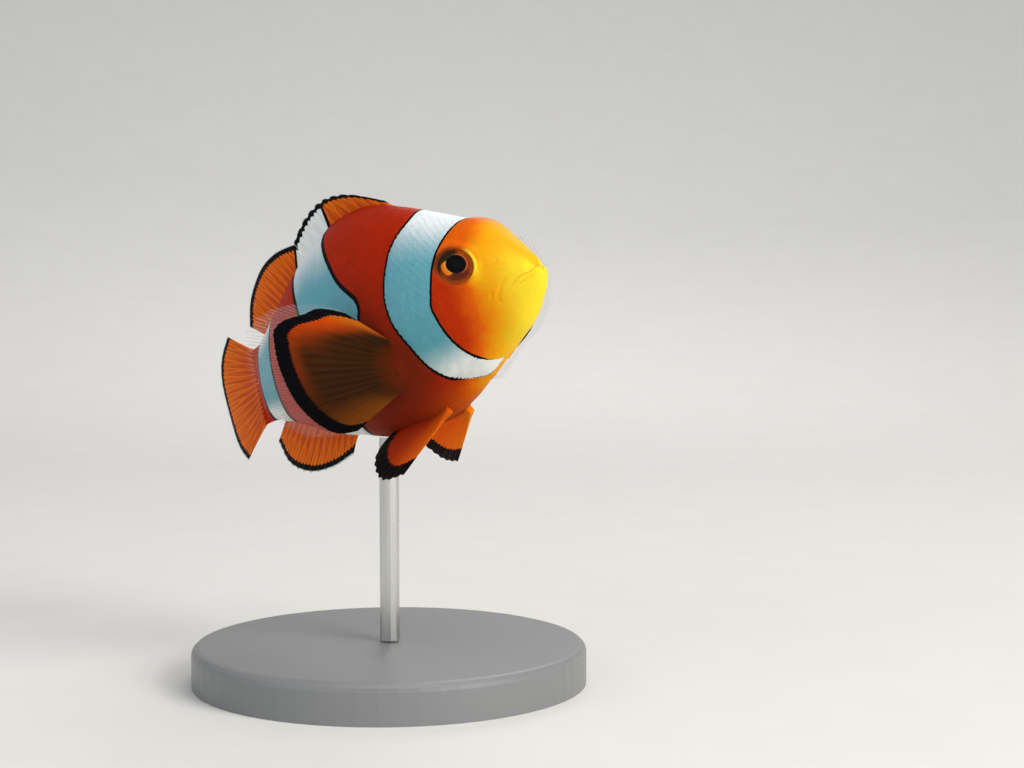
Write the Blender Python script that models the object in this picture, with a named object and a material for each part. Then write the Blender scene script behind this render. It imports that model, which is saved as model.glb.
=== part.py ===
"""A life-size clownfish on a plain display stand, modelled in metres with +Z up.

The fish is laid out in its own straight frame first, in millimetres: the snout is at the origin, X is
negative towards the tail, +Y is the fish's left and +Z is up.  The spine is then bent a little to the
left, the body is pitched nose-up, and it is set on the rod, whose foot is the origin of the model.
"""
import math

import bmesh
import bpy
import numpy as np

MM = 0.001
GAP = 0.3
TOTAL_LENGTH = 90.0
TAIL_ROOT = 75.0

# Pose of the whole fish.
BEND_ANGLE = math.radians(12.0)
BEND_LENGTH = 73.0
BEND_POWER = 1.6
PITCH = math.radians(16.5)
SNOUT_HEIGHT = 63.0

# Stand.
BASE_RADIUS = 30.0
BASE_HEIGHT = 6.0
BASE_BEVEL = 1.2
ROD_RADIUS = 1.5
ROD_STATION = 39.5
BASE_SIDES = 64
ROD_SIDES = 20

# Body sections: station, top, bottom, widest level, half width, upper and lower section exponent.
SECTIONS = np.array((
    (0.15, 0.9, -1.0, 0.0, 0.9, 1.0, 1.0),
    (2.0, 3.3, -3.9, -0.4, 2.4, 0.95, 1.0),
    (5.0, 6.5, -6.7, -0.4, 4.0, 0.9, 1.05),
    (9.0, 10.0, -8.9, 0.2, 5.6, 0.9, 1.15),
    (14.0, 12.0, -11.6, 0.8, 6.9, 0.95, 1.2),
    (20.0, 14.7, -14.3, 1.4, 8.0, 1.05, 1.15),
    (27.0, 17.6, -15.8, 2.0, 8.2, 1.15, 1.0),
    (35.0, 19.6, -15.9, 2.2, 7.7, 1.2, 0.95),
    (45.0, 18.9, -13.6, 2.0, 6.8, 1.2, 1.0),
    (55.0, 15.2, -10.6, 1.6, 5.2, 1.2, 1.05),
    (63.0, 11.0, -7.5, 1.2, 3.5, 1.1, 1.0),
    (70.0, 7.8, -5.8, 1.0, 2.0, 1.0, 1.0),
    (TAIL_ROOT, 7.2, -5.6, 1.0, 1.4, 1.0, 1.0),
))

# Borders of the body's pieces: station at the back, at mid-height and at the belly.
GILL_BORDER = (20.0, 24.2, 11.8)
STALK_BORDER = (60.0, 62.0, 60.0)
COVER_WIDTH = 8.8
COVER_TOP = math.radians(50.0)
COVER_BOTTOM = math.radians(154.0)
COVER_DEPTH = 1.6

MOUTH_CORNER = (3.9, -1.6)
JAW_REACH = 9.0

EYE_CENTRE = (10.7, 3.95)
EYE_RADIUS = 3.2
EYE_SINK = 1.9
EYE_RINGS = 9
EYE_SIDES = 16

FIN_ROOT_THICK = 1.2
FIN_TIP_THICK = 0.6
FIN_SINK = 1.2
MEDIAN_COLUMNS = 6
PAIRED_COLUMNS = 7

# Paired fins: root point of the left one, half root, ray angles, ray lengths from top to bottom, rays.
PECTORAL = ((-25.4, 6.75, -7.4), 2.4, (32.0, -40.0), (12.2, 21.5, 24.8, 24.0, 21.6, 18.0, 10.6), 19)
PELVIC = ((-23.6, 1.9, -14.2), 1.5, (18.0, -16.0), (13.1, 16.2, 16.0, 11.9), 11)

# Median fins: stations of the root, ray heights from the front, lean of the first and last ray.
DORSAL_SPINY = ((28.0, 51.8), (2.6, 5.2, 6.4, 6.0, 4.4), (52.0, 38.0), 21, 0.06)
DORSAL_SOFT = ((52.2, 68.5), (4.4, 7.6, 9.6, 9.2, 6.0), (38.0, 62.0), 15, 0.02)
ANAL = ((47.5, 67.0), (3.4, 6.6, 8.8, 8.8, 5.6), (34.0, 60.0), 17, 0.02)

# Caudal fin: half root, half spread in degrees, ray lengths as shares of its reach, rays, columns.
CAUDAL = (5.9, 26.0, (0.68, 0.93, 1.0, 0.93, 0.68), 17, 6)

ORANGE = (0.80, 0.16, 0.01)
DEEP_ORANGE = (0.62, 0.09, 0.01)
GOLD = (0.90, 0.36, 0.02)
EYE_BROWN = (0.03, 0.012, 0.006)
STAND_GREY = (0.30, 0.31, 0.32)
STEEL = (0.62, 0.62, 0.62)


# Curves and the body's surface.

def smooth(keys, values, at):
    """Cubic curve through the keyed values, with central-difference slopes."""
    slopes = np.gradient(values, keys)
    at = np.clip(at, keys[0], keys[-1])
    i = np.clip(np.searchsorted(keys, at) - 1, 0, len(keys) - 2)
    span = keys[i + 1] - keys[i]
    t = (at - keys[i]) / span
    rise = values[i + 1] - values[i]
    a = span * slopes[i] - rise
    b = rise - span * slopes[i + 1]
    return values[i] + t * rise + t * (1 - t) * ((1 - t) * a + t * b)


def section(station):
    """Top, bottom, middle, half width and the two exponents at a station."""
    keys = np.sqrt(SECTIONS[:, 0])
    at = np.sqrt(np.maximum(station, 0.0))
    return [smooth(keys, SECTIONS[:, k], at) for k in range(1, 7)]


def skin(station, angle, lift=0.0):
    """Points of the body's surface; angle 0 is the back, positive angles go down the right side."""
    station, angle = np.broadcast_arrays(np.asarray(station, float), np.asarray(angle, float))
    top, bottom, middle, width, upper, lower = section(station)
    c = np.cos(angle)
    s = np.sin(angle)
    z = middle + np.where(c > 0, (top - middle) * c, (middle - bottom) * c)
    y = -width * np.sign(s) * np.abs(s) ** np.where(c > 0, upper, lower)
    reach = np.hypot(y, z - middle)
    grow = (reach + lift) / np.maximum(reach, 0.05)
    return np.stack((-station, y * grow, middle + (z - middle) * grow), -1)


def border(row, angle):
    """Station of a border that runs from the back over mid-height to the belly."""
    back, side, belly = row
    c = np.cos(angle)
    return side + np.where(c > 0, back - side, belly - side) * c * c


# Pose.

def spine(station):
    """Place and turn of the bent spine at a station."""
    steps = np.linspace(0.0, TOTAL_LENGTH + 20.0, 1101)
    turn = BEND_ANGLE * (steps / BEND_LENGTH) ** BEND_POWER
    half = (turn[1:] + turn[:-1]) / 2
    width = steps[1] - steps[0]
    x = -np.concatenate(((0.0,), np.cumsum(np.cos(half) * width)))
    y = np.concatenate(((0.0,), np.cumsum(np.sin(half) * width)))
    at = np.clip(station, 0.0, steps[-1])
    return [np.interp(at, steps, row) for row in (x, y, turn)]


def pitched(points):
    """Turn points nose-up about the snout."""
    c = math.cos(PITCH)
    s = math.sin(PITCH)
    x, y, z = points[..., 0], points[..., 1], points[..., 2]
    return np.stack((c * x - s * z, y, s * x + c * z), -1)


def bent(points, root=None):
    """Bend points with the spine, or move them rigidly with the spine at one root station."""
    points = np.asarray(points, float)
    station = -points[..., 0] if root is None else np.full(points.shape[:-1], float(root))
    ahead = np.maximum(-station, 0.0) if root is None else points[..., 0] + station
    x, y, turn = spine(station)
    across = points[..., 1]
    new_x = x + across * np.sin(turn) + ahead * np.cos(turn)
    new_y = y + across * np.cos(turn) - ahead * np.sin(turn)
    return np.stack((new_x, new_y, points[..., 2]), -1)


ROD_TOP = pitched(bent(skin(ROD_STATION, math.pi)))
SHIFT = np.array((-ROD_TOP[0], -ROD_TOP[1], SNOUT_HEIGHT))


def posed(points, root=None):
    """World position, in metres, of points in the straight fish."""
    return (pitched(bent(points, root)) + SHIFT) * MM


# Objects.

def material(name, colour, roughness, metallic):
    made = bpy.data.materials.new(name)
    made.use_nodes = True
    shader = made.node_tree.nodes["Principled BSDF"]
    shader.inputs["Base Color"].default_value = (*colour, 1.0)
    shader.inputs["Roughness"].default_value = roughness
    shader.inputs["Metallic"].default_value = metallic
    return made


def add_object(name, points, faces, colour, roughness=0.45, metallic=0.0):
    """Make a named object from points in metres and faces."""
    mesh = bpy.data.meshes.new(name)
    mesh.from_pydata([tuple(p) for p in points], [], faces)
    shape = bmesh.new()
    shape.from_mesh(mesh)
    bmesh.ops.recalc_face_normals(shape, faces=shape.faces)
    shape.to_mesh(mesh)
    shape.free()
    mesh.shade_smooth()
    mesh.set_sharp_from_angle(angle=math.radians(50.0))
    made = bpy.data.objects.new(name, mesh)
    made.data.materials.append(material(name, colour, roughness, metallic))
    bpy.context.collection.objects.link(made)
    return made


def as_cutter(made):
    made.hide_render = True
    made.display_type = "WIRE"
    return made


def cut(made, cutter, operation="DIFFERENCE"):
    step = made.modifiers.new(cutter.name, "BOOLEAN")
    step.operation = operation
    step.solver = "EXACT"
    step.object = cutter


def tube_faces(rings, around):
    """Faces of a closed loft whose ends are ruled from left to right."""
    faces = []
    for i in range(rings - 1):
        for j in range(around):
            k = (j + 1) % around
            faces.append((i * around + j, i * around + k, (i + 1) * around + k, (i + 1) * around + j))
    half = around // 2
    for first in (0, (rings - 1) * around):
        faces.append((first, first + 1, first + around - 1))
        faces.append((first + half - 1, first + half, first + half + 1))
        for j in range(1, half - 1):
            faces.append(tuple(first + r for r in (j, j + 1, around - j - 1, around - j)))
    return faces


def add_loft(name, front, rear, rings, around, colour, lift=0.0, power=1.0):
    """A length of the body between two borders."""
    angle = np.linspace(0.0, 2 * math.pi, around, endpoint=False)
    share = np.linspace(0.0, 1.0, rings)[:, None] ** power
    start = border(front, angle)
    end = border(rear, angle)
    points = skin(start + (end - start) * share, angle, lift)
    return add_object(name, posed(points).reshape(-1, 3), tube_faces(rings, around), colour)


def plate_faces(rows, columns):
    """Faces of a closed plate of two sheets, each rows by columns points."""
    sheet = rows * columns
    faces = []
    for i in range(rows - 1):
        for j in range(columns - 1):
            a = i * columns + j
            quad = (a, a + 1, a + columns + 1, a + columns)
            faces.append(quad)
            faces.append(tuple(sheet + q for q in quad[::-1]))
    rim = list(range(columns))
    rim += [i * columns + columns - 1 for i in range(1, rows)]
    rim += [(rows - 1) * columns + j for j in range(columns - 2, -1, -1)]
    rim += [i * columns for i in range(rows - 2, 0, -1)]
    for a, b in zip(rim, rim[1:] + rim[:1]):
        faces.append((b, a, sheet + a, sheet + b))
    return faces


def add_plate(name, middle, thickness, colour, root=None):
    """A thin plate on both sides of a grid of points; its thickness varies along the columns."""
    across = np.gradient(middle, axis=0)
    along = np.gradient(middle, axis=1)
    normal = np.cross(across, along)
    normal /= np.linalg.norm(normal, axis=-1, keepdims=True)
    half = normal * (np.asarray(thickness) / 2)[None, :, None]
    points = np.concatenate(((middle + half).reshape(-1, 3), (middle - half).reshape(-1, 3)))
    return add_object(name, posed(points, root), plate_faces(*middle.shape[:2]), colour)


# Head, trunk and tail.

def jaw_prism(name, grow):
    """A wedge below the mouth's cleft that bounds the lower jaw."""
    corner_x, corner_z = MOUTH_CORNER
    outline = (
        (2.0, grow + 0.6),
        (-corner_x - grow, corner_z + grow),
        (-JAW_REACH - grow, -16.0),
        (2.0, -16.0),
    )
    points = [(x, y, z) for y in (-9.0, 9.0) for x, z in outline]
    sides = [(i, (i + 1) % 4, 4 + (i + 1) % 4, 4 + i) for i in range(4)]
    faces = [(0, 1, 2, 3), (4, 5, 6, 7)] + sides
    return as_cutter(add_object(name, posed(np.array(points), root=0.0), faces, ORANGE))


def cover_solid(name, side, grow, skin_lift):
    """A gill cover: a patch of the head's side with an even thickness."""
    rows, columns = 9, 13
    edge = grow / 8.0
    angle = np.linspace(COVER_TOP - edge, COVER_BOTTOM + edge, columns)[None, :]
    share = np.linspace(0.0, 1.0, rows)[:, None]
    middle = np.sin(np.linspace(0.0, math.pi, columns))[None, :]
    gill = border(GILL_BORDER, angle) - GAP / 2
    front = gill - COVER_WIDTH * (0.25 + 0.75 * np.sqrt(middle)) - grow
    rear = gill + 4 * grow
    station = front + (rear - front) * share
    outer = skin(station, side * angle, skin_lift)
    inner = skin(station, side * angle, -COVER_DEPTH - grow)
    points = np.concatenate((outer.reshape(-1, 3), inner.reshape(-1, 3)))
    return add_object(name, posed(points), plate_faces(rows, columns), ORANGE)


def eye_solid(name, side, radius):
    """A ball that looks out of the side of the head."""
    station, height = EYE_CENTRE
    top, _, middle, width, upper, _ = section(np.array(station))
    c = (height - middle) / (top - middle)
    y = width * math.sqrt(1 - c * c) ** upper - EYE_SINK
    around = EYE_SIDES
    points = [(0.0, 0.0, radius)]
    for i in range(1, EYE_RINGS):
        lat = math.pi * i / EYE_RINGS
        for j in range(around):
            lon = 2 * math.pi * j / around
            ring = radius * math.sin(lat)
            points.append((ring * math.cos(lon), ring * math.sin(lon), radius * math.cos(lat)))
    points.append((0.0, 0.0, -radius))
    points = np.array(points) + np.array((-station, -side * y, height))
    faces = [(0, 1 + j, 1 + (j + 1) % around) for j in range(around)]
    for i in range(EYE_RINGS - 2):
        for j in range(around):
            a = 1 + i * around
            b = (j + 1) % around
            faces.append((a + j, a + around + j, a + around + b, a + b))
    last = 1 + (EYE_RINGS - 2) * around
    faces += [(last + j, len(points) - 1, last + (j + 1) % around) for j in range(around)]
    return add_object(name, posed(points, root=station), faces, EYE_BROWN, roughness=0.1)


def add_body():
    half = GAP / 2
    snout = (SECTIONS[0, 0],) * 3
    gill_front = tuple(s - half for s in GILL_BORDER)
    gill_rear = tuple(s + half for s in GILL_BORDER)
    stalk_front = tuple(s - half for s in STALK_BORDER)
    stalk_rear = tuple(s + half for s in STALK_BORDER)
    head = add_loft("head", snout, gill_front, 15, 36, GOLD, power=1.6)
    jaw = add_loft("lower_jaw", snout, (12.0,) * 3, 9, 36, GOLD, power=1.6)
    cut(jaw, jaw_prism("jaw_region", 0.0), "INTERSECT")
    cut(head, jaw_prism("jaw_clearance", GAP))
    for side, word in ((1, "right"), (-1, "left")):
        cover_solid(f"gill_cover_{word}", side, 0.0, 0.0)
        cut(head, as_cutter(cover_solid(f"cover_clearance_{word}", side, GAP, 1.0)))
        eye_solid(f"eye_{word}", side, EYE_RADIUS)
        cut(head, as_cutter(eye_solid(f"eye_clearance_{word}", side, EYE_RADIUS + GAP)))
    add_loft("trunk", gill_rear, stalk_front, 15, 32, DEEP_ORANGE)
    add_loft("tail_stalk", stalk_rear, (TAIL_ROOT,) * 3, 7, 24, ORANGE)


# Fins.

def taper(columns):
    return np.linspace(FIN_ROOT_THICK, FIN_TIP_THICK, columns)


def median_fin(name, kind, below, clearance):
    """A fin on the midline: rays of given heights that lean back, with a scalloped edge."""
    stations, heights, leans, rays, scallop = kind
    share = np.linspace(0.0, 1.0, rays)
    keys = np.linspace(0.0, 1.0, len(heights))
    station = stations[0] + (stations[1] - stations[0]) * share
    height = smooth(keys, np.array(heights), share) * (1 + scallop * (np.arange(rays) % 2 == 0))
    lean = np.radians(leans[0] + (leans[1] - leans[0]) * share)
    top, bottom = section(station)[:2]
    root = bottom if below else top
    up = -1.0 if below else 1.0
    reach = np.linspace(0.0, 1.0, MEDIAN_COLUMNS)[None, :] * height[:, None]
    reach[:, 0] = -FIN_SINK
    x = -station[:, None] - reach * np.sin(lean)[:, None]
    z = root[:, None] + up * reach * np.cos(lean)[:, None]
    middle = np.stack((x, np.zeros_like(x), z), -1)
    fin = add_plate(name, middle, taper(MEDIAN_COLUMNS), ORANGE)
    cut(fin, clearance)


def fan(frame, root_half, angles, lengths, rays, columns, cup):
    """Points of a fan fin: rays spread from a short root line in the plane of two directions."""
    origin, along, across = frame
    share = np.linspace(0.0, 1.0, rays)
    angle = np.radians(angles[0] + (angles[1] - angles[0]) * share)
    length = smooth(np.linspace(0.0, 1.0, len(lengths)), np.array(lengths, float), share)
    root = np.linspace(root_half, -root_half, rays)
    steps = np.linspace(0.0, 1.0, columns)
    a = steps[None, :] * (length * np.cos(angle))[:, None]
    b = root[:, None] + steps[None, :] * (length * np.sin(angle))[:, None]
    out = np.cross(along, across)
    bow = cup * (b * b) / 10.0
    return origin + a[..., None] * along + b[..., None] * across + bow[..., None] * out


def fin_frame(origin, side, sweep, lift, twist):
    """Root point, ray direction and spread direction of a paired fin, from three angles in degrees."""
    sweep, lift, twist = (math.radians(v) for v in (sweep, lift, twist))
    along = np.array((
        -math.cos(sweep) * math.cos(lift),
        -side * math.sin(sweep) * math.cos(lift),
        math.sin(lift),
    ))
    up = np.array((0.0, 0.0, 1.0))
    across = up - along * along[2]
    across /= np.linalg.norm(across)
    across = math.cos(twist) * across + math.sin(twist) * np.cross(along, across)
    return np.array(origin) - along * FIN_SINK, along, across


def add_paired_fin(name, side, kind, sweep, lift, twist, cup, clearance):
    """One fin of a pair: its kind gives the outline, and three angles set how it is held."""
    root, root_half, angles, lengths, rays = kind
    origin = (root[0], -side * root[1], root[2])
    frame = fin_frame(origin, side, sweep, lift, twist)
    middle = fan(frame, root_half, angles, lengths, rays, PAIRED_COLUMNS, cup)
    fin = add_plate(name, middle, taper(PAIRED_COLUMNS), ORANGE, root=-root[0])
    cut(fin, clearance)


def add_paired_fins(clearance):
    add_paired_fin("pectoral_fin_right", 1, PECTORAL, 46.0, 10.0, -14.0, 0.35, clearance)
    add_paired_fin("pectoral_fin_left", -1, PECTORAL, 102.0, 38.0, 18.0, -0.35, clearance)
    add_paired_fin("pelvic_fin_right", 1, PELVIC, 16.5, -25.0, 32.0, 0.2, clearance)
    add_paired_fin("pelvic_fin_left", -1, PELVIC, 16.5, -14.0, -28.0, -0.2, clearance)


def add_caudal():
    root_half, spread, lengths, rays, columns = CAUDAL
    level = float(section(np.array(TAIL_ROOT))[2])
    frame = (
        np.array((-TAIL_ROOT - GAP, 0.0, level)),
        np.array((-1.0, 0.0, 0.0)),
        np.array((0.0, 0.0, 1.0)),
    )
    reach = TOTAL_LENGTH - TAIL_ROOT - GAP
    lengths = [reach * length for length in lengths]
    middle = fan(frame, root_half, (spread, -spread), lengths, rays, columns, 0.0)
    add_plate("caudal_fin", middle, taper(columns), ORANGE)


def add_clearance():
    """The body grown by the gap, which trims what is set against it."""
    front = (4.0,) * 3
    rear = (TAIL_ROOT - 1.0,) * 3
    return as_cutter(add_loft("body_clearance", front, rear, 40, 48, ORANGE, lift=GAP))


def add_fins(clearance):
    median_fin("dorsal_fin_spiny", DORSAL_SPINY, False, clearance)
    median_fin("dorsal_fin_soft", DORSAL_SOFT, False, clearance)
    median_fin("anal_fin", ANAL, True, clearance)
    add_paired_fins(clearance)
    add_caudal()


# Stand.

def add_lathe(name, profile, around, colour, roughness, metallic):
    """Turn an outline of (radius, height) points, top to bottom, into a solid about the Z axis."""
    points = []
    for radius, height in profile:
        for j in range(around):
            turn = 2 * math.pi * j / around
            points.append((radius * math.cos(turn), radius * math.sin(turn), height))
    faces = []
    for i in range(len(profile) - 1):
        for j in range(around):
            k = (j + 1) % around
            faces.append((i * around + j, (i + 1) * around + j, (i + 1) * around + k, i * around + k))
    faces.append(tuple(range(around)))
    faces.append(tuple((len(profile) - 1) * around + j for j in range(around)))
    return add_object(name, np.array(points) * MM, faces, colour, roughness, metallic)


def add_stand(clearance):
    flat = BASE_RADIUS - BASE_BEVEL
    turns = np.radians((0.0, 30.0, 60.0, 90.0))
    radii = flat + BASE_BEVEL * np.sin(turns)
    heights = BASE_HEIGHT - BASE_BEVEL + BASE_BEVEL * np.cos(turns)
    profile = list(zip(radii, heights)) + [(BASE_RADIUS, 0.0)]
    add_lathe("stand_base", profile, BASE_SIDES, STAND_GREY, 0.4, 0.0)
    rod_top = SHIFT[2] + ROD_TOP[2] + 2 * ROD_RADIUS
    rod_foot = BASE_HEIGHT + GAP
    rod = add_lathe("stand_rod", [(ROD_RADIUS, rod_top), (ROD_RADIUS, rod_foot)], ROD_SIDES, STEEL, 0.3, 1.0)
    cut(rod, clearance)


def main():
    for old in list(bpy.data.objects):
        bpy.data.objects.remove(old)
    clearance = add_clearance()
    add_body()
    add_fins(clearance)
    add_stand(clearance)


main()
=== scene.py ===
# %% [markdown]
# # A clownfish on a plain display stand
# This lesson dresses a finished set of solid pieces as a real fish.  The solids already have the right
# size, pose and outline.  Blender adds what a solid cannot show: one unbroken skin, scales, finely
# rayed fins, wet eyes and the colours.  Every length is in millimetres until a mesh is made.

# %% Load the frame
import math

import bpy
import numpy as np
from mathutils import Matrix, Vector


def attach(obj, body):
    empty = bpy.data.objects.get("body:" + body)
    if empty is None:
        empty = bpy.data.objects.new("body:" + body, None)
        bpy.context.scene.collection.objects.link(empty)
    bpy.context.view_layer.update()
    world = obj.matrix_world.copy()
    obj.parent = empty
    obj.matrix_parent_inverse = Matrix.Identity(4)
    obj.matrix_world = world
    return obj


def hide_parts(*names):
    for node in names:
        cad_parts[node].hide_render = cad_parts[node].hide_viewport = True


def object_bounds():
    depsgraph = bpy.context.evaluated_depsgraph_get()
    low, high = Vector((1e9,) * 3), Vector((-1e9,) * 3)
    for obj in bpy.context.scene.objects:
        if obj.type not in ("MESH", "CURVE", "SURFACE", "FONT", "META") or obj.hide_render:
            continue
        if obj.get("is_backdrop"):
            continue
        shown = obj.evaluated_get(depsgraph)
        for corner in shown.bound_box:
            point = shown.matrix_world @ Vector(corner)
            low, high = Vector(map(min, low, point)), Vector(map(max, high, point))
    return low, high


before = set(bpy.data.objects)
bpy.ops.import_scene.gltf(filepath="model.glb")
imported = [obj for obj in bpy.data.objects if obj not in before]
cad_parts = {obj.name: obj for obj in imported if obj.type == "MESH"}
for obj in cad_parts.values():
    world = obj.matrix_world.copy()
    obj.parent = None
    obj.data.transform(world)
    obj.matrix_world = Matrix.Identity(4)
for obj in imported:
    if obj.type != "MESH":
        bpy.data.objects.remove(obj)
CAD_BOX = [list(corner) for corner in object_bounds()]
MM = 0.001
print("solid pieces:", sorted(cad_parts))
print("box in millimetres:", [[round(v / MM, 1) for v in corner] for corner in CAD_BOX])

# %% [markdown]
# ## The straight fish
# A fish is hard to draw while it bends, so it is described straight, with its snout at the origin, its
# tail towards minus X and its back up.  Thirteen cross-sections carry the shape.  Each gives the
# heights of the back and belly, the level of the widest point, the half width, and how square or
# pointed the upper and lower halves are.  A smooth curve through them gives any section in between.

# %% Sections and the curve through them
TOTAL_LENGTH = 90.0
TAIL_ROOT = 75.0
SNOUT_START = 0.15
SECTIONS = np.array((
    (SNOUT_START, 0.9, -1.0, 0.0, 0.9, 1.0, 1.0),
    (2.0, 3.3, -3.9, -0.4, 2.4, 0.95, 1.0),
    (5.0, 6.5, -6.7, -0.4, 4.0, 0.9, 1.05),
    (9.0, 10.0, -8.9, 0.2, 5.6, 0.9, 1.15),
    (14.0, 12.0, -11.6, 0.8, 6.9, 0.95, 1.2),
    (20.0, 14.7, -14.3, 1.4, 8.0, 1.05, 1.15),
    (27.0, 17.6, -15.8, 2.0, 8.2, 1.15, 1.0),
    (35.0, 19.6, -15.9, 2.2, 7.7, 1.2, 0.95),
    (45.0, 18.9, -13.6, 2.0, 6.8, 1.2, 1.0),
    (55.0, 15.2, -10.6, 1.6, 5.2, 1.2, 1.05),
    (63.0, 11.0, -7.5, 1.2, 3.5, 1.1, 1.0),
    (70.0, 7.8, -5.8, 1.0, 2.0, 1.0, 1.0),
    (TAIL_ROOT, 7.2, -5.6, 1.0, 1.4, 1.0, 1.0),
))


def curve(keys, values, at):
    """Cubic curve through the keyed values, with central-difference slopes."""
    keys = np.asarray(keys, float)
    values = np.asarray(values, float)
    slopes = np.gradient(values, keys)
    at = np.clip(at, keys[0], keys[-1])
    i = np.clip(np.searchsorted(keys, at) - 1, 0, len(keys) - 2)
    span = keys[i + 1] - keys[i]
    t = (at - keys[i]) / span
    rise = values[i + 1] - values[i]
    a = span * slopes[i] - rise
    b = rise - span * slopes[i + 1]
    return values[i] + t * rise + t * (1 - t) * ((1 - t) * a + t * b)


def section(station):
    keys = np.sqrt(SECTIONS[:, 0])
    at = np.sqrt(np.maximum(station, 0.0))
    return [curve(keys, SECTIONS[:, k], at) for k in range(1, 7)]


def rise_to(value, low, high):
    """Smooth step from 0 at low to 1 at high."""
    t = np.clip((value - low) / (high - low), 0.0, 1.0)
    return t * t * (3 - 2 * t)


def bell(value, width):
    return np.exp(-(value / width) ** 2)


print("sections:", len(SECTIONS), "from snout to tail root")

# %% [markdown]
# ## Body surface
# A point of the skin is named by its station, which is its distance behind the snout, and an angle,
# which is 0 on the back, 90 degrees on the right flank and 180 degrees under the belly.  The snout is
# closed by a small rounded cap, and the tail root thins out so that the tail fin can grow from it.

# %% Smooth body surface
ROOT_THIN = 0.35


def smooth_body(station, angle):
    """Points of the smooth body, before any relief."""
    station, angle = np.broadcast_arrays(np.asarray(station, float), np.asarray(angle, float))
    top, bottom, middle, width, upper, lower = section(station)
    ahead = np.clip((SNOUT_START - station) / SNOUT_START, 0.0, 1.0)
    cap = np.sqrt(np.maximum(1 - ahead * ahead, 0.0))
    thin = 1 - (1 - ROOT_THIN) * rise_to(station, 69.0, TAIL_ROOT)
    c = np.cos(angle)
    s = np.sin(angle)
    z = middle + np.where(c > 0, (top - middle) * c, (middle - bottom) * c) * cap
    y = -width * thin * cap * np.sign(s) * np.abs(s) ** np.where(c > 0, upper, lower)
    return np.stack((-station, y, z), -1)


def outward(station, angle):
    """Unit normals of the smooth body."""
    step = 0.02
    near = np.maximum(station, step * 1.5)
    along = smooth_body(near + step, angle) - smooth_body(near - step, angle)
    around = smooth_body(near, angle + step) - smooth_body(near, angle - step)
    normal = np.cross(along, around)
    return normal / np.maximum(np.linalg.norm(normal, axis=-1, keepdims=True), 1e-9)


middle_normal = outward(np.array(30.0), np.array(math.pi / 2))
print("the right flank faces", np.round(middle_normal, 2))

# %% [markdown]
# ## Pose
# The spine bends a little towards the fish's left, more and more towards the tail, as in a slow turn.
# The whole fish is then pitched nose-up and lifted, so that its belly meets the top of the rod, which
# stands on the origin.

# %% Bend, pitch and lift
BEND_ANGLE = math.radians(12.0)
BEND_LENGTH = 73.0
BEND_POWER = 1.6
PITCH = math.radians(16.5)
SNOUT_HEIGHT = 63.0
ROD_STATION = 39.5

SPINE_STEPS = np.linspace(0.0, TOTAL_LENGTH + 20.0, 1101)
SPINE_TURN = BEND_ANGLE * (SPINE_STEPS / BEND_LENGTH) ** BEND_POWER
HALF_TURN = (SPINE_TURN[1:] + SPINE_TURN[:-1]) / 2
SPINE_STEP = SPINE_STEPS[1] - SPINE_STEPS[0]
SPINE_X = -np.concatenate(((0.0,), np.cumsum(np.cos(HALF_TURN) * SPINE_STEP)))
SPINE_Y = np.concatenate(((0.0,), np.cumsum(np.sin(HALF_TURN) * SPINE_STEP)))


def bent(points, root=None):
    """Bend points with the spine, or move them rigidly with the spine at one root station."""
    points = np.asarray(points, float)
    station = -points[..., 0] if root is None else np.full(points.shape[:-1], float(root))
    ahead = np.maximum(-station, 0.0) if root is None else points[..., 0] + station
    at = np.clip(station, 0.0, SPINE_STEPS[-1])
    x, y, turn = (np.interp(at, SPINE_STEPS, row) for row in (SPINE_X, SPINE_Y, SPINE_TURN))
    across = points[..., 1]
    new_x = x + across * np.sin(turn) + ahead * np.cos(turn)
    new_y = y + across * np.cos(turn) - ahead * np.sin(turn)
    return np.stack((new_x, new_y, points[..., 2]), -1)


def pitched(points):
    c = math.cos(PITCH)
    s = math.sin(PITCH)
    x, y, z = points[..., 0], points[..., 1], points[..., 2]
    return np.stack((c * x - s * z, y, s * x + c * z), -1)


belly = pitched(bent(smooth_body(ROD_STATION, math.pi)))
SNOUT = np.array((-belly[0], -belly[1], SNOUT_HEIGHT))


def posed(points, root=None):
    """World position, in metres, of points in the straight fish."""
    return (pitched(bent(points, root)) + SNOUT) * MM


print("snout in millimetres:", np.round(SNOUT, 2))

# %% [markdown]
# ## Camera
# The camera sees the fish from its right front quarter, a few degrees above the level of its eye.  The
# fish sits left of the middle, so the camera stands a little to the right of the snout and below it.
# The lens is a long one, which keeps the head from looking swollen.

# %% Place the camera
VIEW_AZIMUTH = math.radians(44.7)
VIEW_ELEVATION = math.radians(4.04)
VIEW_DISTANCE = 276.9
VIEW_SIDE = -4.38
VIEW_RISE = -15.84
LENS = 70.3
SENSOR = 36.0

view_back = np.array((
    math.sin(VIEW_AZIMUTH) * math.cos(VIEW_ELEVATION),
    -math.cos(VIEW_AZIMUTH) * math.cos(VIEW_ELEVATION),
    math.sin(VIEW_ELEVATION),
))
view_right = np.array((math.cos(VIEW_AZIMUTH), math.sin(VIEW_AZIMUTH), 0.0))
view_up = np.cross(view_back, view_right)
camera_place = SNOUT + VIEW_SIDE * view_right + VIEW_RISE * view_up + VIEW_DISTANCE * view_back

camera = bpy.data.objects.new("camera", bpy.data.cameras.new("camera"))
bpy.context.collection.objects.link(camera)
camera.data.lens = LENS
camera.data.sensor_width = SENSOR
camera.data.clip_start = 0.01
camera.data.clip_end = 20.0
turn = np.eye(4)
turn[:3, 0] = view_right
turn[:3, 1] = view_up
turn[:3, 2] = view_back
turn[:3, 3] = camera_place * MM
camera.matrix_world = Matrix(turn.tolist())
bpy.context.scene.camera = camera
print("camera height in millimetres:", round(float(camera_place[2]), 1))

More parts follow.
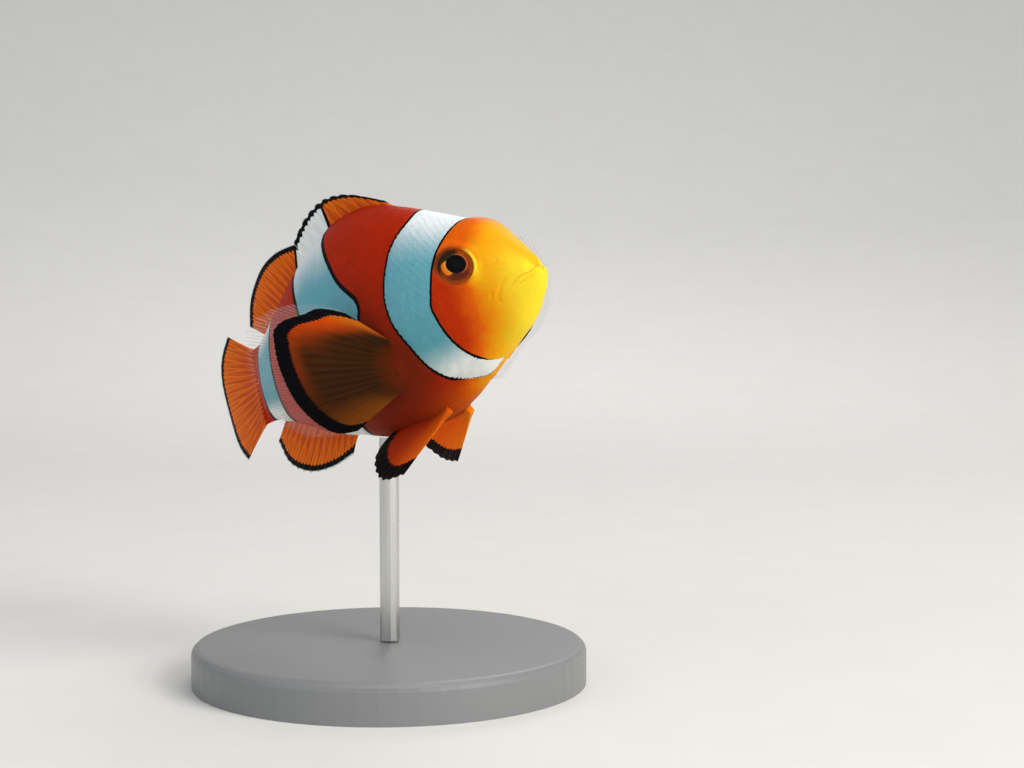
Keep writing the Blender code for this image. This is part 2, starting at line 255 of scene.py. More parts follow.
# %% [markdown]
# ## Making meshes
# Each piece is worked out as arrays of points and faces, and becomes a mesh in one go.  Its points also
# carry numbers of their own, such as where they lie on the straight fish.  A material reads those
# numbers, so the markings stay in place whatever the pose.

# %% Mesh helpers

def volume_of(mesh):
    """Signed volume of a closed mesh; it is negative where the faces point inwards."""
    mesh.calc_loop_triangles()
    corners = np.zeros(len(mesh.loop_triangles) * 3, np.int32)
    mesh.loop_triangles.foreach_get("vertices", corners)
    places = np.zeros(len(mesh.vertices) * 3, np.float32)
    mesh.vertices.foreach_get("co", places)
    a, b, c = places.reshape(-1, 3)[corners.reshape(-1, 3)].astype(float).transpose(1, 0, 2)
    return float(np.einsum("ij,ij->i", a, np.cross(b, c)).sum() / 6)


def make_piece(name, points, faces, numbers, material):
    """A smooth-shaded mesh in metres, with named numbers on its points, riding on the root body."""
    mesh = bpy.data.meshes.new(name)
    mesh.from_pydata(points.reshape(-1, 3).tolist(), [], faces)
    for key, values in numbers.items():
        values = np.asarray(values, np.float32)
        if values.shape[-1] == 3 and values.ndim > 1:
            layer = mesh.attributes.new(key, "FLOAT_VECTOR", "POINT")
            layer.data.foreach_set("vector", values.reshape(-1))
        else:
            layer = mesh.attributes.new(key, "FLOAT", "POINT")
            layer.data.foreach_set("value", values.reshape(-1))
    if volume_of(mesh) < 0:
        mesh.flip_normals()
    mesh.shade_smooth()
    mesh.materials.append(material)
    piece = bpy.data.objects.new(name, mesh)
    bpy.context.collection.objects.link(piece)
    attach(piece, "root")
    return piece


def grid_faces(rows, columns, closed=False):
    """Quads of a grid; a closed grid joins its last column to its first."""
    i, j = np.meshgrid(np.arange(rows - 1), np.arange(columns - (0 if closed else 1)), indexing="ij")
    k = (j + 1) % columns
    quads = (i * columns + j, i * columns + k, (i + 1) * columns + k, (i + 1) * columns + j)
    return np.stack(quads, -1).reshape(-1, 4)


print("a 3 by 4 grid has", len(grid_faces(3, 4)), "quads")

# %% [markdown]
# ## Writing materials as arithmetic
# A material is a sum of masks and colours, so it reads best as an expression.  Each output socket is
# wrapped in a small class, and adding or multiplying two of them adds the Math node that does it.

# %% A socket that does arithmetic
class Wire:
    """One output socket of a material's tree, with the arithmetic of a number."""

    def __init__(self, recipe, socket):
        self.recipe = recipe
        self.socket = socket

    def math(self, operation, first, second):
        return self.recipe.add("ShaderNodeMath", {"operation": operation}, {0: first, 1: second})

    def __add__(self, other):
        return self.math("ADD", self, other)

    def __sub__(self, other):
        return self.math("SUBTRACT", self, other)

    def __rsub__(self, other):
        return self.math("SUBTRACT", other, self)

    def __mul__(self, other):
        return self.math("MULTIPLY", self, other)

    def __truediv__(self, other):
        return self.math("DIVIDE", self, other)

    def __pow__(self, other):
        return self.math("POWER", self, other)

    __radd__ = __add__
    __rmul__ = __mul__


class Recipe:
    """A material under construction, around one Principled shader."""

    def __init__(self, name):
        self.material = bpy.data.materials.new(name)
        self.material.use_nodes = True
        self.tree = self.material.node_tree
        self.shader = self.tree.nodes["Principled BSDF"]

    def add(self, kind, settings=None, inputs=None, out=0):
        """Add a node: its settings first, then the values or wires of its sockets."""
        node = self.tree.nodes.new(kind)
        for key, value in (settings or {}).items():
            setattr(node, key, value)
        for key, value in (inputs or {}).items():
            self.plug(node.inputs[key], value)
        return Wire(self, node.outputs[out])

    def plug(self, socket, value):
        if isinstance(value, Wire):
            self.tree.links.new(value.socket, socket)
        elif isinstance(value, tuple) and len(value) == 3 and socket.type == "RGBA":
            socket.default_value = (*value, 1.0)
        else:
            socket.default_value = value

    def finish(self, **inputs):
        """Plug the shader's sockets, written with _ for a space, and give the material back."""
        for key, value in inputs.items():
            self.plug(self.shader.inputs[key.replace("_", " ")], value)
        return self.material

    def number(self, name):
        return self.add("ShaderNodeAttribute", {"attribute_name": name}, out="Fac")

    def place(self, name):
        return self.add("ShaderNodeAttribute", {"attribute_name": name}, out="Vector")

    def axes(self, vector):
        node = self.add("ShaderNodeSeparateXYZ", inputs={0: vector}).socket.node
        return [Wire(self, socket) for socket in node.outputs]

    def step(self, value, low, high, start=0.0, end=1.0):
        """Smooth step of a number; low may be above high."""
        if low > high:
            low, high, start, end = high, low, end, start
        limits = {"Value": value, "From Min": low, "From Max": high, "To Min": start, "To Max": end}
        return self.add("ShaderNodeMapRange", {"interpolation_type": "SMOOTHSTEP"}, limits)

    def noise(self, vector, scale, detail=2.0, roughness=0.5):
        inputs = {"Vector": vector, "Scale": scale, "Detail": detail, "Roughness": roughness}
        return self.add("ShaderNodeTexNoise", {}, inputs)

    def stretch(self, vector, amounts):
        return self.add("ShaderNodeVectorMath", {"operation": "MULTIPLY"}, {0: vector, 1: amounts})

    def mix(self, factor, first, second):
        return self.add("ShaderNodeMix", {"data_type": "RGBA"}, {0: factor, 6: first, 7: second}, out=2)

    def wave(self, value):
        return self.add("ShaderNodeMath", {"operation": "COSINE"}, {0: value * (2 * math.pi)})

    def dim(self, colour, amount):
        """A colour made brighter or darker by a number."""
        return self.add("ShaderNodeVectorMath", {"operation": "SCALE"}, {0: colour, 3: amount})

    def bump(self, height, strength, distance):
        inputs = {"Height": height, "Strength": strength, "Distance": distance}
        return self.add("ShaderNodeBump", {}, inputs)


print("Wire and Recipe are ready")

# %% [markdown]
# ## Light tent
# The fish stands on a pale floor that curves up all round into a pale wall, so that no horizon cuts
# through the picture from any side.  A large soft key light hangs ahead of the face and above it, and
# a broad one shines from the top.  A weak cool one fills the flank, one lights the back and gives the
# edges a rim, and the last lights only the wall.  An area light leaves a dark zone behind it, so the
# key and the fill hang far out, where no picture shows that zone.

# %% Floor and wall
FLOOR_RINGS = (1.0, 300.0)
FLOOR_REACH = 450.0
FLOOR_CURVE = 950.0
WALL_TOP = 1400.0
TENT_AROUND = 96


def pale_paint():
    recipe = Recipe("pale_paint")
    point = recipe.add("ShaderNodeNewGeometry", out="Position")
    grain = recipe.noise(point, 60.0, 3.0)
    colour = recipe.mix(grain, (0.74, 0.73, 0.71), (0.78, 0.77, 0.75))
    return recipe.finish(Base_Color=colour, Roughness=0.85)


def tent():
    bend = np.linspace(0.0, math.pi / 2, 17)
    curve_radius = FLOOR_REACH + FLOOR_CURVE * np.sin(bend)
    radius = np.concatenate((FLOOR_RINGS, curve_radius, (FLOOR_REACH + FLOOR_CURVE,)))
    height = np.concatenate(((0.0, 0.0), FLOOR_CURVE * (1 - np.cos(bend)), (WALL_TOP,)))
    around = np.linspace(0.0, 2 * math.pi, TENT_AROUND, endpoint=False)
    points = np.stack((
        radius[:, None] * np.cos(around),
        radius[:, None] * np.sin(around),
        np.broadcast_to(height[:, None], (len(radius), TENT_AROUND)),
    ), -1) * MM
    faces = grid_faces(len(radius), TENT_AROUND, closed=True).tolist()
    faces.append(list(range(TENT_AROUND)))
    mesh = bpy.data.meshes.new("floor")
    mesh.from_pydata(points.reshape(-1, 3).tolist(), [], faces)
    mesh.shade_smooth()
    mesh.materials.append(pale_paint())
    made = bpy.data.objects.new("floor", mesh)
    bpy.context.collection.objects.link(made)
    return made


tent()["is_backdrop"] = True
print("floor reaches", FLOOR_REACH, "mm before it curves up")

# %% Lights and sky
MIDDLE = (0.0, 0.0, 50.0)
WALL_BEHIND = (-820.0, 820.0, 120.0)
SKY_COLOUR = (0.86, 0.93, 1.0, 1.0)
SKY_STRENGTH = 0.32


def soft_light(name, azimuth, elevation, distance, size, power, colour, target=MIDDLE):
    """A square area light at a place round the fish, facing a target; it shines on that side only."""
    a = math.radians(azimuth)
    e = math.radians(elevation)
    away = np.array((math.sin(a) * math.cos(e), -math.cos(a) * math.cos(e), math.sin(e)))
    place = np.array(MIDDLE) + away * distance
    back = place - np.array(target)
    back /= np.linalg.norm(back)
    side = np.cross((0.0, 0.0, 1.0), back)
    side /= np.linalg.norm(side)
    pose = np.eye(4)
    pose[:3] = np.stack((side, np.cross(back, side), back, place * MM), -1)
    data = bpy.data.lights.new(name, "AREA")
    data.shape = "SQUARE"
    data.size = size * MM
    data.energy = power
    data.color = colour
    light = bpy.data.objects.new(name, data)
    light.matrix_world = Matrix(pose.tolist())
    light.visible_camera = False
    bpy.context.collection.objects.link(light)


soft_light("key", 96.0, 30.0, 900.0, 450.0, 6.4, (1.0, 0.96, 0.90))
soft_light("top", 70.0, 72.0, 700.0, 500.0, 1.6, (1.0, 0.98, 0.96))
soft_light("fill", -10.0, 24.0, 1050.0, 750.0, 1.55, (0.80, 0.92, 1.0))
soft_light("back", 215.0, 40.0, 650.0, 300.0, 0.8, (1.0, 0.97, 0.94))
soft_light("wall", 225.0, 38.0, 650.0, 300.0, 0.8, (1.0, 0.99, 0.97), WALL_BEHIND)

world = bpy.data.worlds.new("sky")
bpy.context.scene.world = world
world.use_nodes = True
sky = world.node_tree.nodes["Background"].inputs
sky["Color"].default_value = SKY_COLOUR
sky["Strength"].default_value = SKY_STRENGTH
bpy.context.scene.view_settings.view_transform = "Standard"
print("lights:", sorted(light.name for light in bpy.data.lights))

# %% [markdown]
# ## Markings
# Three white bands with thin black edges cross the orange body.  The head band runs over the gill cover
# and tapers to a point at the throat, the middle one bulges forward on the flank, and the last rings
# the tail stalk.  Each edge is a curve of station against the angle down from the back, in degrees.
# From it comes a signed distance, which is positive inside the white.  Skin and scales both ask the
# same function, so the markings run over them unbroken.  An edge has the side its white lies on, the
# width of its black line, and the angles over which that line thins out.

# %% Band edges as curves
HEAD_FRONT = (
    (0, 17, 34, 53, 70, 90, 99, 104, 121, 139, 156, 172, 180),
    (11.3, 12.05, 12.8, 14.0, 14.95, 15.8, 16.22, 16.0, 15.1, 13.77, 12.25, 11.0, 10.5),
)
HEAD_REAR = (
    (0, 16, 29, 44, 57, 70, 83, 91, 100, 113, 131, 151, 163, 174, 180),
    (21.3, 20.85, 20.8, 21.95, 22.95, 23.65, 24.3, 24.4, 23.87, 22.05, 20.1, 17.25, 15.4, 14.0, 12.6),
)
MIDDLE_FRONT = (
    (0, 40, 60, 72, 78, 82, 87, 92, 104, 120, 140, 180),
    (44.0, 41.5, 38.0, 35.2, 33.1, 31.7, 31.0, 31.6, 33.0, 36.0, 40.0, 42.0),
)
MIDDLE_REAR = ((0, 45, 90, 135, 180), (54.0, 51.0, 46.5, 48.0, 50.0))
TAIL_FRONT = ((0, 90, 180), (64.0, 63.3, 64.0))
TAIL_REAR = ((0, 90, 180), (70.0, 70.6, 70.0))
NO_FADE = (200.0, 201.0)
EDGES = (
    (HEAD_FRONT, 1, 0.36, (142.0, 166.0)), (HEAD_REAR, -1, 0.46, (146.0, 155.0)),
    (MIDDLE_FRONT, 1, 0.75, NO_FADE), (MIDDLE_REAR, -1, 0.80, NO_FADE),
    (TAIL_FRONT, 1, 0.85, NO_FADE), (TAIL_REAR, -1, 0.95, NO_FADE),
)
THROAT_GAPS = (0.12, 1.5)


def fold_of(angle):
    """Angle down from the back, in degrees, the same on both sides."""
    return np.degrees(np.arccos(np.clip(np.cos(angle), -1.0, 1.0)))


def arc_rate(station, angle):
    """Millimetres of skin per degree of angle."""
    step = math.radians(0.5)
    around = smooth_body(station, angle + step) - smooth_body(station, angle - step)
    return np.linalg.norm(around, axis=-1)


def behind(edge, station, fold, rate):
    """Distance behind a band's edge, measured square to it."""
    slope = (curve(*edge, fold + 1.0) - curve(*edge, fold - 1.0)) / 2.0
    return (station - curve(*edge, fold)) / np.sqrt(1 + (slope / rate) ** 2)


def band_marks(station, angle):
    """Signed distance inside the white, and the same distance in widths of the black edge."""
    fold = fold_of(angle)
    rate = np.maximum(arc_rate(station, angle), 0.02)
    gaps = []
    lines = []
    for edge, sign, width, fade in EDGES:
        gap = sign * behind(edge, station, fold, rate)
        gaps.append(gap)
        lines.append(gap / (width * (1 - rise_to(fold, *fade)) + 0.01))
    midline = (180.0 - fold) * rate - np.where(np.sin(angle) >= 0, *THROAT_GAPS)
    inside = np.minimum(np.minimum(gaps[0], gaps[1]), midline)
    line = np.minimum(np.minimum(lines[0], lines[1]), np.where(midline < 0, -9.0, 9.0))
    for first in (2, 4):
        other = np.minimum(gaps[first], gaps[first + 1])
        other_line = np.minimum(lines[first], lines[first + 1])
        line = np.where(other > inside, other_line, line)
        inside = np.maximum(other, inside)
    return inside, line


for degrees_down in (0, 45, 90, 135):
    width = curve(*HEAD_REAR, degrees_down) - curve(*HEAD_FRONT, degrees_down)
    print("head band at", degrees_down, "degrees:", round(float(width), 1), "mm wide")

# %% [markdown]
# ## Skin colours
# One recipe colours the skin and its scales.  The snout is yellow, and it deepens through gold and
# orange to red-orange on the cheek and the body.  Painted light brightens the front of the breast, and
# painted shade browns the belly and the pectoral fin's root and runs orange along the face's creases.
# The white is white on the back and turns nearly blue on the flank, a faint blue of its own deepened
# by painted shade, and it is warm at the throat.  A thin black line rims it, a little ragged where it
# crosses scales.  Round the eye come painted shade in the socket and behind it, an orange brow and a
# painted highlight on the rim in front.  A mottle and fine noise stand for the skin's grain.  They
# could be an image, but noise is sharp at any distance and needs no file.

# %% Where the eye sits
EYE_STATION = 11.2
EYE_LEVEL = 3.76
EYE_TURN = ((1.02, -0.06), (0.28, 0.96))
SOCKET_RADIUS = 2.40
SOCKET_STRETCH = 1.27


def eye_axes(ahead, above):
    """Turn offsets ahead of and above a point into offsets along the eye's long and short axes."""
    (a, b), (c, d) = EYE_TURN
    return ahead * a + above * b, ahead * c + above * d


print("eye socket:", round(2 * SOCKET_RADIUS * SOCKET_STRETCH, 1), "by", 2 * SOCKET_RADIUS, "mm")

# %% Recipe for skin and scales
YELLOW = (0.90, 0.67, 0.030)
GOLD = (0.90, 0.370, 0.006)
ORANGE = (0.84, 0.130, 0.003)
RED_ORANGE = (0.57, 0.032, 0.002)
BODY_ORANGE = (0.46, 0.019, 0.002)
BODY_SHADE = (0.33, 0.014, 0.002)
BACK_WHITE = (0.86, 0.89, 0.90)
# a faint blue of the white's own, deepened by painted shade on the flank
SIDE_SHADE_BLUE = (0.15, 0.43, 0.52)
LOW_SHADE_BLUE = (0.12, 0.385, 0.44)
WARM_WHITE = (0.90, 0.90, 0.85)
BLACK = (0.002, 0.002, 0.003)
# painted shade in and round the eye socket
SOCKET_SHADE_BROWN = (0.34, 0.050, 0.004)
SOCKET_SHADE_DARK = (0.090, 0.026, 0.008)
# painted highlight on the front of the socket's rim
RIM_HIGHLIGHT_YELLOW = (1.0, 0.74, 0.040)
# painted shade in the face's creases
CREASE_SHADE_ORANGE = (0.78, 0.27, 0.004)
# painted shade at the pectoral fin's root
ARM_ROOT_SHADE = (0.14, 0.018, 0.003)
ARM_STATION = 26.2
ARM_LEVEL = -7.4
ARM_STRETCH = 1.3
# painted shade on the belly behind the pectoral fin
BELLY_SHADE_BROWN = (0.075, 0.014, 0.004)
BELLY_STATION = 33.0
BELLY_LEVEL = -9.0
LORE_GOLD = (0.93, 0.50, 0.010)
STRUT_PITCH = 2.5
TOOTH_PITCH = 3.4


# painted shade: the white stays white on the back and turns blue down the flank
def white_with_painted_shade(recipe, fold, grain):
    colour = recipe.mix(recipe.step(fold + grain * 14, 25.0, 69.0), BACK_WHITE, SIDE_SHADE_BLUE)
    colour = recipe.mix(recipe.step(fold, 88.0, 118.0), colour, LOW_SHADE_BLUE)
    return recipe.mix(recipe.step(fold + grain * 10, 117.0, 147.0), colour, WARM_WHITE)


def face_orange(recipe, station, fold, grain, mottle):
    low = recipe.step(fold, 118.0, 176.0)
    depth = station * (1 - low * 0.52) + grain * 1.2 + mottle * 3.2
    colour = recipe.mix(recipe.step(depth, 2.0, 7.0), YELLOW, GOLD)
    colour = recipe.mix(recipe.step(depth, 5.8, 10.2), colour, ORANGE)
    cheek = recipe.step(depth, 8.5, 13.0) * recipe.step(fold, 45.0, 85.0)
    colour = recipe.mix(cheek, colour, RED_ORANGE)
    crown = recipe.step(fold, 62.0, 22.0) * recipe.step(station, 8.5, 5.5)
    colour = recipe.mix(crown * 0.8, colour, GOLD)
    return recipe.mix(recipe.step(station * (1 - low * 0.12), 15.0, 21.0), colour, BODY_ORANGE)


def brown_shade(recipe, colour, station, height):
    """Painted shade: browner skin on the belly and round the pectoral fin's root."""
    from_belly = ((station - BELLY_STATION) ** 2.0 + (height - BELLY_LEVEL) ** 2.0) ** 0.5
    # painted shade: the belly darkens towards a point behind the pectoral fin
    colour = recipe.mix(recipe.step(from_belly, 20.0, 6.0) * 0.62, colour, BELLY_SHADE_BROWN)
    from_arm = (((station - ARM_STATION) / ARM_STRETCH) ** 2.0 + (height - ARM_LEVEL) ** 2.0) ** 0.5
    # painted shade round the pectoral fin's root
    return recipe.mix(recipe.step(from_arm, 6.5, 1.0) * 0.75, colour, ARM_ROOT_SHADE)


def eye_surround(recipe, colour, station, height):
    """Gold in front of the eye, an orange brow, painted shade in the socket and behind the eye, and a
    painted highlight on the rim in front.
    """
    ahead, above = eye_axes(EYE_STATION - station, height - EYE_LEVEL)
    reach = ((ahead / SOCKET_STRETCH) ** 2.0 + above ** 2.0) ** 0.5
    front = ahead / (reach * SOCKET_STRETCH + 0.1)
    top = above / (reach + 0.1)
    before = recipe.step(reach, 5.2, 3.1) * recipe.step(front + top * 0.1, 0.35, 0.9)
    colour = recipe.mix(before * 0.85, colour, LORE_GOLD)
    brow = recipe.step(reach, 3.7, 3.0) * recipe.step(front * 0.3 + top * 0.9, 0.2, 0.8)
    colour = recipe.mix(brow * 0.6, colour, ORANGE)
    # painted shade inside the socket's edge, lighter in front
    socket_shade = recipe.step(reach, 3.0, 2.40) * recipe.step(front, 1.15, -0.2)
    colour = recipe.mix(socket_shade, colour, SOCKET_SHADE_BROWN)
    # painted shade behind and above the eye
    shade_behind_eye = recipe.step(reach, 3.30, 2.35) * recipe.step(front * 0.85 - top * 0.5, -0.35, -0.9)
    colour = recipe.mix(shade_behind_eye * 0.9, colour, SOCKET_SHADE_DARK)
    # painted highlight: the rim is yellow only on its front and top, where light falls
    rim = recipe.step(reach, 2.44, 2.60) * recipe.step(reach, 3.00, 2.72)
    rim = rim * recipe.step(front * 0.95 + top * 0.35, 0.55, 0.95)
    colour = recipe.mix(rim, colour, RIM_HIGHLIGHT_YELLOW)
    # painted shade just inside the socket
    return recipe.mix(recipe.step(reach, 2.46, 2.32) * 0.6, colour, SOCKET_SHADE_BROWN)


def skin_paint():
    recipe = Recipe("fish_skin")
    place = recipe.place("fish")
    station, fold, height = recipe.axes(recipe.place("lie"))
    band = recipe.number("band")
    line = recipe.number("line")
    tone = recipe.number("tone")
    rear = recipe.number("rear")
    broad = recipe.noise(place, 0.16, 2.0) - 0.5
    fine = recipe.noise(place, 3.0, 3.0) - 0.5
    grit = recipe.noise(place, 11.0, 2.0) - 0.5
    mottle = recipe.noise(recipe.stretch(place, (0.55, 1.0, 1.0)), 1.1, 5.0, 0.62) - 0.5
    colour = face_orange(recipe, station, fold, broad, mottle)
    # painted light: the front of the breast is made brighter orange
    breast_painted_light = recipe.step(fold, 138.0, 172.0) * recipe.step(station, 32.0, 20.0)
    breast_painted_light = breast_painted_light * recipe.step(station, 15.0, 20.0)
    colour = recipe.mix(breast_painted_light * 0.6, colour, ORANGE)
    back_shade = recipe.step(fold, 40.0, 4.0) * recipe.step(station, 19.0, 26.0)
    colour = recipe.mix(back_shade * 0.5, colour, BODY_SHADE)
    cast = 1 + tone * 0.05 - rear * 0.10 + fine * 0.07 + broad * 0.08 + mottle * 0.22
    colour = recipe.dim(colour, cast)
    colour = brown_shade(recipe, colour, station, height)
    colour = eye_surround(recipe, colour, station, height)
    # painted shade: orange along the creases of the mouth and face
    colour = recipe.mix(recipe.number("crease_shade") * 0.45, colour, CREASE_SHADE_ORANGE)
    strut = recipe.wave(fold / STRUT_PITCH + fine * 0.3)
    teeth = recipe.wave(fold / TOOTH_PITCH + fine * 0.4)
    teeth = teeth * recipe.step(fold, 76.0, 100.0) * recipe.step(station, 15.5, 18.0)
    ragged = fine * 0.10 + grit * 0.05 + teeth * 0.06
    ink = recipe.step(line + ragged * 1.6, -1.12, -0.88)
    colour = recipe.mix(ink, colour, BLACK)
    strut = (strut * 0.5 + 0.5) * recipe.step(fold, 142.0, 147.0) * recipe.step(station, 12.0, 14.5)
    notch = strut * recipe.step(band, 1.1, 0.0) * 0.40
    white = recipe.step(band + ragged - notch, -0.035, 0.045)
    pale = white_with_painted_shade(recipe, fold, broad)
    lines = strut * recipe.step(band, 2.6, 0.4) * 0.22
    pale = recipe.dim(pale, 1 + tone * 0.03 - rear * 0.035 + fine * 0.05 - lines)
    colour = recipe.mix(white, colour, pale)
    relief = recipe.bump(fine * 0.6 + grit * 0.5 + mottle * 2.5, 0.5, 0.00008)
    rough = 0.40 + fine * 0.12 + grit * 0.06
    return recipe.finish(
        Base_Color=colour, Roughness=rough, Normal=relief,
        Subsurface_Weight=0.12, Subsurface_Radius=(1.0, 0.45, 0.2), Subsurface_Scale=0.0006,
        Coat_Weight=0.02, Coat_Roughness=0.16, Specular_IOR_Level=0.03,
    )


SKIN = skin_paint()
print("skin recipe:", len(SKIN.node_tree.nodes), "nodes")

# %% [markdown]
# ## Relief of the head and body
# The smooth body gets its anatomy as small pushes along its normals: a socket with a raised rim round
# each eye, the mouth's cleft and lips, soft folds at the corner of the mouth, a nostril, the steps at
# the gill cover's edges, thin struts under the throat, and a fleshy base for each fin.  The whole
# skin also lies a little inside the solids, by the depth of its coat of scales.

# %% Pushes along the normals
COAT_DEPTH = 0.12
CLEFT = ((0.0, 0.3, 0.6, 1.26, 2.06, 2.95, 3.5), (0.83, 0.72, 0.40, 0.06, -0.17, -0.72, -1.25))
UPPER_LIP = ((0.3, 0.46, 1.16, 2.06, 2.7), (1.35, 1.16, 0.72, 0.38, 0.12))
LOWER_LIP = ((0.1, 0.26, 0.86, 1.56, 2.26, 2.95, 3.4), (-0.12, -0.33, -0.55, -0.83, -1.10, -1.42, -1.72))
FACE_FOLDS = (
    ((-3.67, -2.83, -1.79, -0.48, 0.60), (5.25, 5.75, 5.45, 4.65, 3.85), 0.050, 0.28),
    ((-2.75, -1.86, -1.05), (6.75, 6.55, 6.25), 0.075, 0.20),
    ((-3.29, -2.54, -1.93), (4.15, 3.85, 3.25), 0.035, 0.22),
    ((-1.79, -0.98), (7.25, 7.15), 0.035, 0.18),
)
NOSTRIL = (5.15, 2.91)
GILL_EDGE_INSET = 0.25
GILL_LOWER_EDGE = ((130.0, 132.0, 139.5, 149.0, 156.0), (15.4, 15.53, 16.23, 17.23, 18.1))


def eye_relief(station, level):
    ahead, above = eye_axes(EYE_STATION - station, level - EYE_LEVEL)
    reach = np.hypot(ahead / SOCKET_STRETCH, above)
    front = ahead / SOCKET_STRETCH / np.maximum(reach, 0.1)
    top = above / np.maximum(reach, 0.1)
    socket = -1.3 * (1 - rise_to(reach, SOCKET_RADIUS - 0.35, SOCKET_RADIUS + 0.12))
    crest = SOCKET_RADIUS + 0.25 + 0.38 * (1 - rise_to(front, 0.3, 0.95))
    rim = (0.11 + 0.06 * np.clip(front * 0.8 + top * 0.6, -1.0, 1.0)) * bell(reach - crest, 0.34)
    outer_groove = -0.06 * bell(reach - crest - 0.85, 0.34) * rise_to(front + top * 0.5, -0.4, 0.6)
    return socket + rim + outer_groove


def crease(gap, depth, width):
    """A soft groove with a low swelling on the side where the gap is positive."""
    return depth * (0.45 * bell(gap - 2.0 * width, 1.3 * width) - bell(gap, width))


def fold_ends(level, levels):
    """1 along a fold, easing to 0 at its lower and upper ends."""
    start = rise_to(level, levels[0], levels[0] + 0.7)
    return start * (1 - rise_to(level, levels[-1] - 0.5, levels[-1]))


def crease_shade_mask(station, level):
    """How far into a crease of the face a point lies, from 0 to 1, for the painted shade in the creases.
    """
    deepest = bell(level - curve(*CLEFT, station), 0.16) * (1 - rise_to(station, 2.8, 3.9))
    lip = bell(level - curve(*LOWER_LIP, station), 0.14) * (1 - rise_to(station, 2.6, 3.4))
    lip = lip * rise_to(station, 0.3, 0.7)
    deepest = np.maximum(deepest, 0.5 * lip)
    for levels, stations, depth, width in FACE_FOLDS:
        line = bell(station - curve(levels, stations, level), 1.1 * width) * fold_ends(level, levels)
        deepest = np.maximum(deepest, line * depth / 0.13)
    return deepest


def mouth_relief(station, level):
    cleft = level - curve(*CLEFT, station)
    fade = 1 - rise_to(station, 2.5, 3.7)
    near = 1 - rise_to(station, 0.2, 1.6)
    relief = -(0.07 + 0.20 * near) * bell(cleft, 0.13) * fade
    relief -= 0.85 * rise_to(cleft, -0.04, 0.20) * (1 - rise_to(station, 0.15, 1.8))
    relief += 0.34 * bell(cleft - 0.70, 0.42) * near
    lip = rise_to(station, 0.3, 0.8) * (1 - rise_to(station, 1.9, 2.7))
    relief -= 0.05 * bell(level - curve(*UPPER_LIP, station), 0.13) * lip
    edge = level - curve(*LOWER_LIP, station)
    lower_lip = 0.04 * bell(edge - 0.36, 0.22) - 0.055 * bell(edge, 0.12)
    relief += lower_lip * (1 - rise_to(station, 2.6, 3.4))
    for levels, stations, depth, width in FACE_FOLDS:
        gap = station - curve(levels, stations, level)
        relief += crease(gap, depth, width) * fold_ends(level, levels)
    return relief


def gill_relief(station, angle, fold):
    rate = np.maximum(arc_rate(station, angle), 0.02)
    gap = behind(HEAD_REAR, station, fold, rate) + GILL_EDGE_INSET
    span = rise_to(fold, 26.0, 46.0) * (1 - rise_to(fold, 158.0, 172.0))
    step = -0.24 * rise_to(gap, -0.08, 0.20) * (1 - rise_to(gap, 0.4, 5.5))
    crown = 0.08 * bell(gap + 1.6, 1.7)
    cheek = -0.05 * bell(behind(HEAD_FRONT, station, fold, rate) - 2.6, 0.30)
    cheek *= rise_to(fold, 70.0, 84.0) * (1 - rise_to(fold, 146.0, 160.0))
    lower = station - curve(*GILL_LOWER_EDGE, fold)
    cover = -0.07 * bell(lower, 0.30) * rise_to(fold, 129.0, 136.0)
    cover *= 1 - rise_to(fold, 148.0, 156.0)
    throat = rise_to(fold, 140.0, 152.0) * rise_to(station, 7.5, 10.0)
    throat *= 1 - rise_to(station, 15.0, 19.0)
    struts = 0.035 * np.cos(np.radians(fold * 60.0)) * throat * rise_to(180.0 - fold, 3.0, 8.0)
    return span * (step + crown + cheek) + struts + cover


def fin_bases(station, side, level, fold):
    arm = 0.75 * bell(station - 25.9, 1.7) * bell(level + 7.4, 2.7)
    hip = 0.35 * bell(station - 24.2, 2.0) * bell(side - 2.2, 1.2) * rise_to(-level, 10.0, 12.5)
    ridge_span = rise_to(station, 26.0, 29.5) * (1 - rise_to(station, 68.5, 71.0))
    ridge = 0.30 * bell(side, 0.8) * ridge_span * (fold < 90.0)
    keel_span = rise_to(station, 46.0, 48.5) * (1 - rise_to(station, 67.0, 69.0))
    keel = 0.30 * bell(side, 0.7) * keel_span * (fold > 90.0)
    return arm + hip + ridge + keel


def relief(station, angle):
    """Push along the normal, in millimetres, of the skin at a station and an angle."""
    place = smooth_body(station, angle)
    side = np.abs(place[..., 1])
    level = place[..., 2]
    fold = fold_of(angle)
    nostril = np.hypot(station - NOSTRIL[0], level - NOSTRIL[1])
    push = eye_relief(station, level) * (side > 1.5)
    push += mouth_relief(station, level)
    push += gill_relief(station, angle, fold)
    push += fin_bases(station, side, level, fold)
    push += 0.30 * bell(station - 8.4, 2.6) * (1 - rise_to(fold, 18.0, 52.0))
    push += 0.02 * bell(nostril - 0.40, 0.16) - 0.07 * bell(nostril, 0.24)
    return push - COAT_DEPTH


def on_skin(station, angle, lift=0.0):
    """Points of the dressed surface in the straight fish, and a lift above it."""
    push = relief(station, angle) + lift
    return smooth_body(station, angle) + outward(station, angle) * push[..., None]


print("coat depth", COAT_DEPTH, "mm; socket", SOCKET_RADIUS * 2, "mm across")

# %% [markdown]
# ## One skin
# The real skin has no seam from lips to tail, so one mesh stands for head, jaw, gill covers, trunk and
# tail stalk together.  It is a grid of rings.  The rings are close on the face and wider on the flank,
# and the points of a ring are evenly spaced along it, so the mesh is fine where the relief is fine.

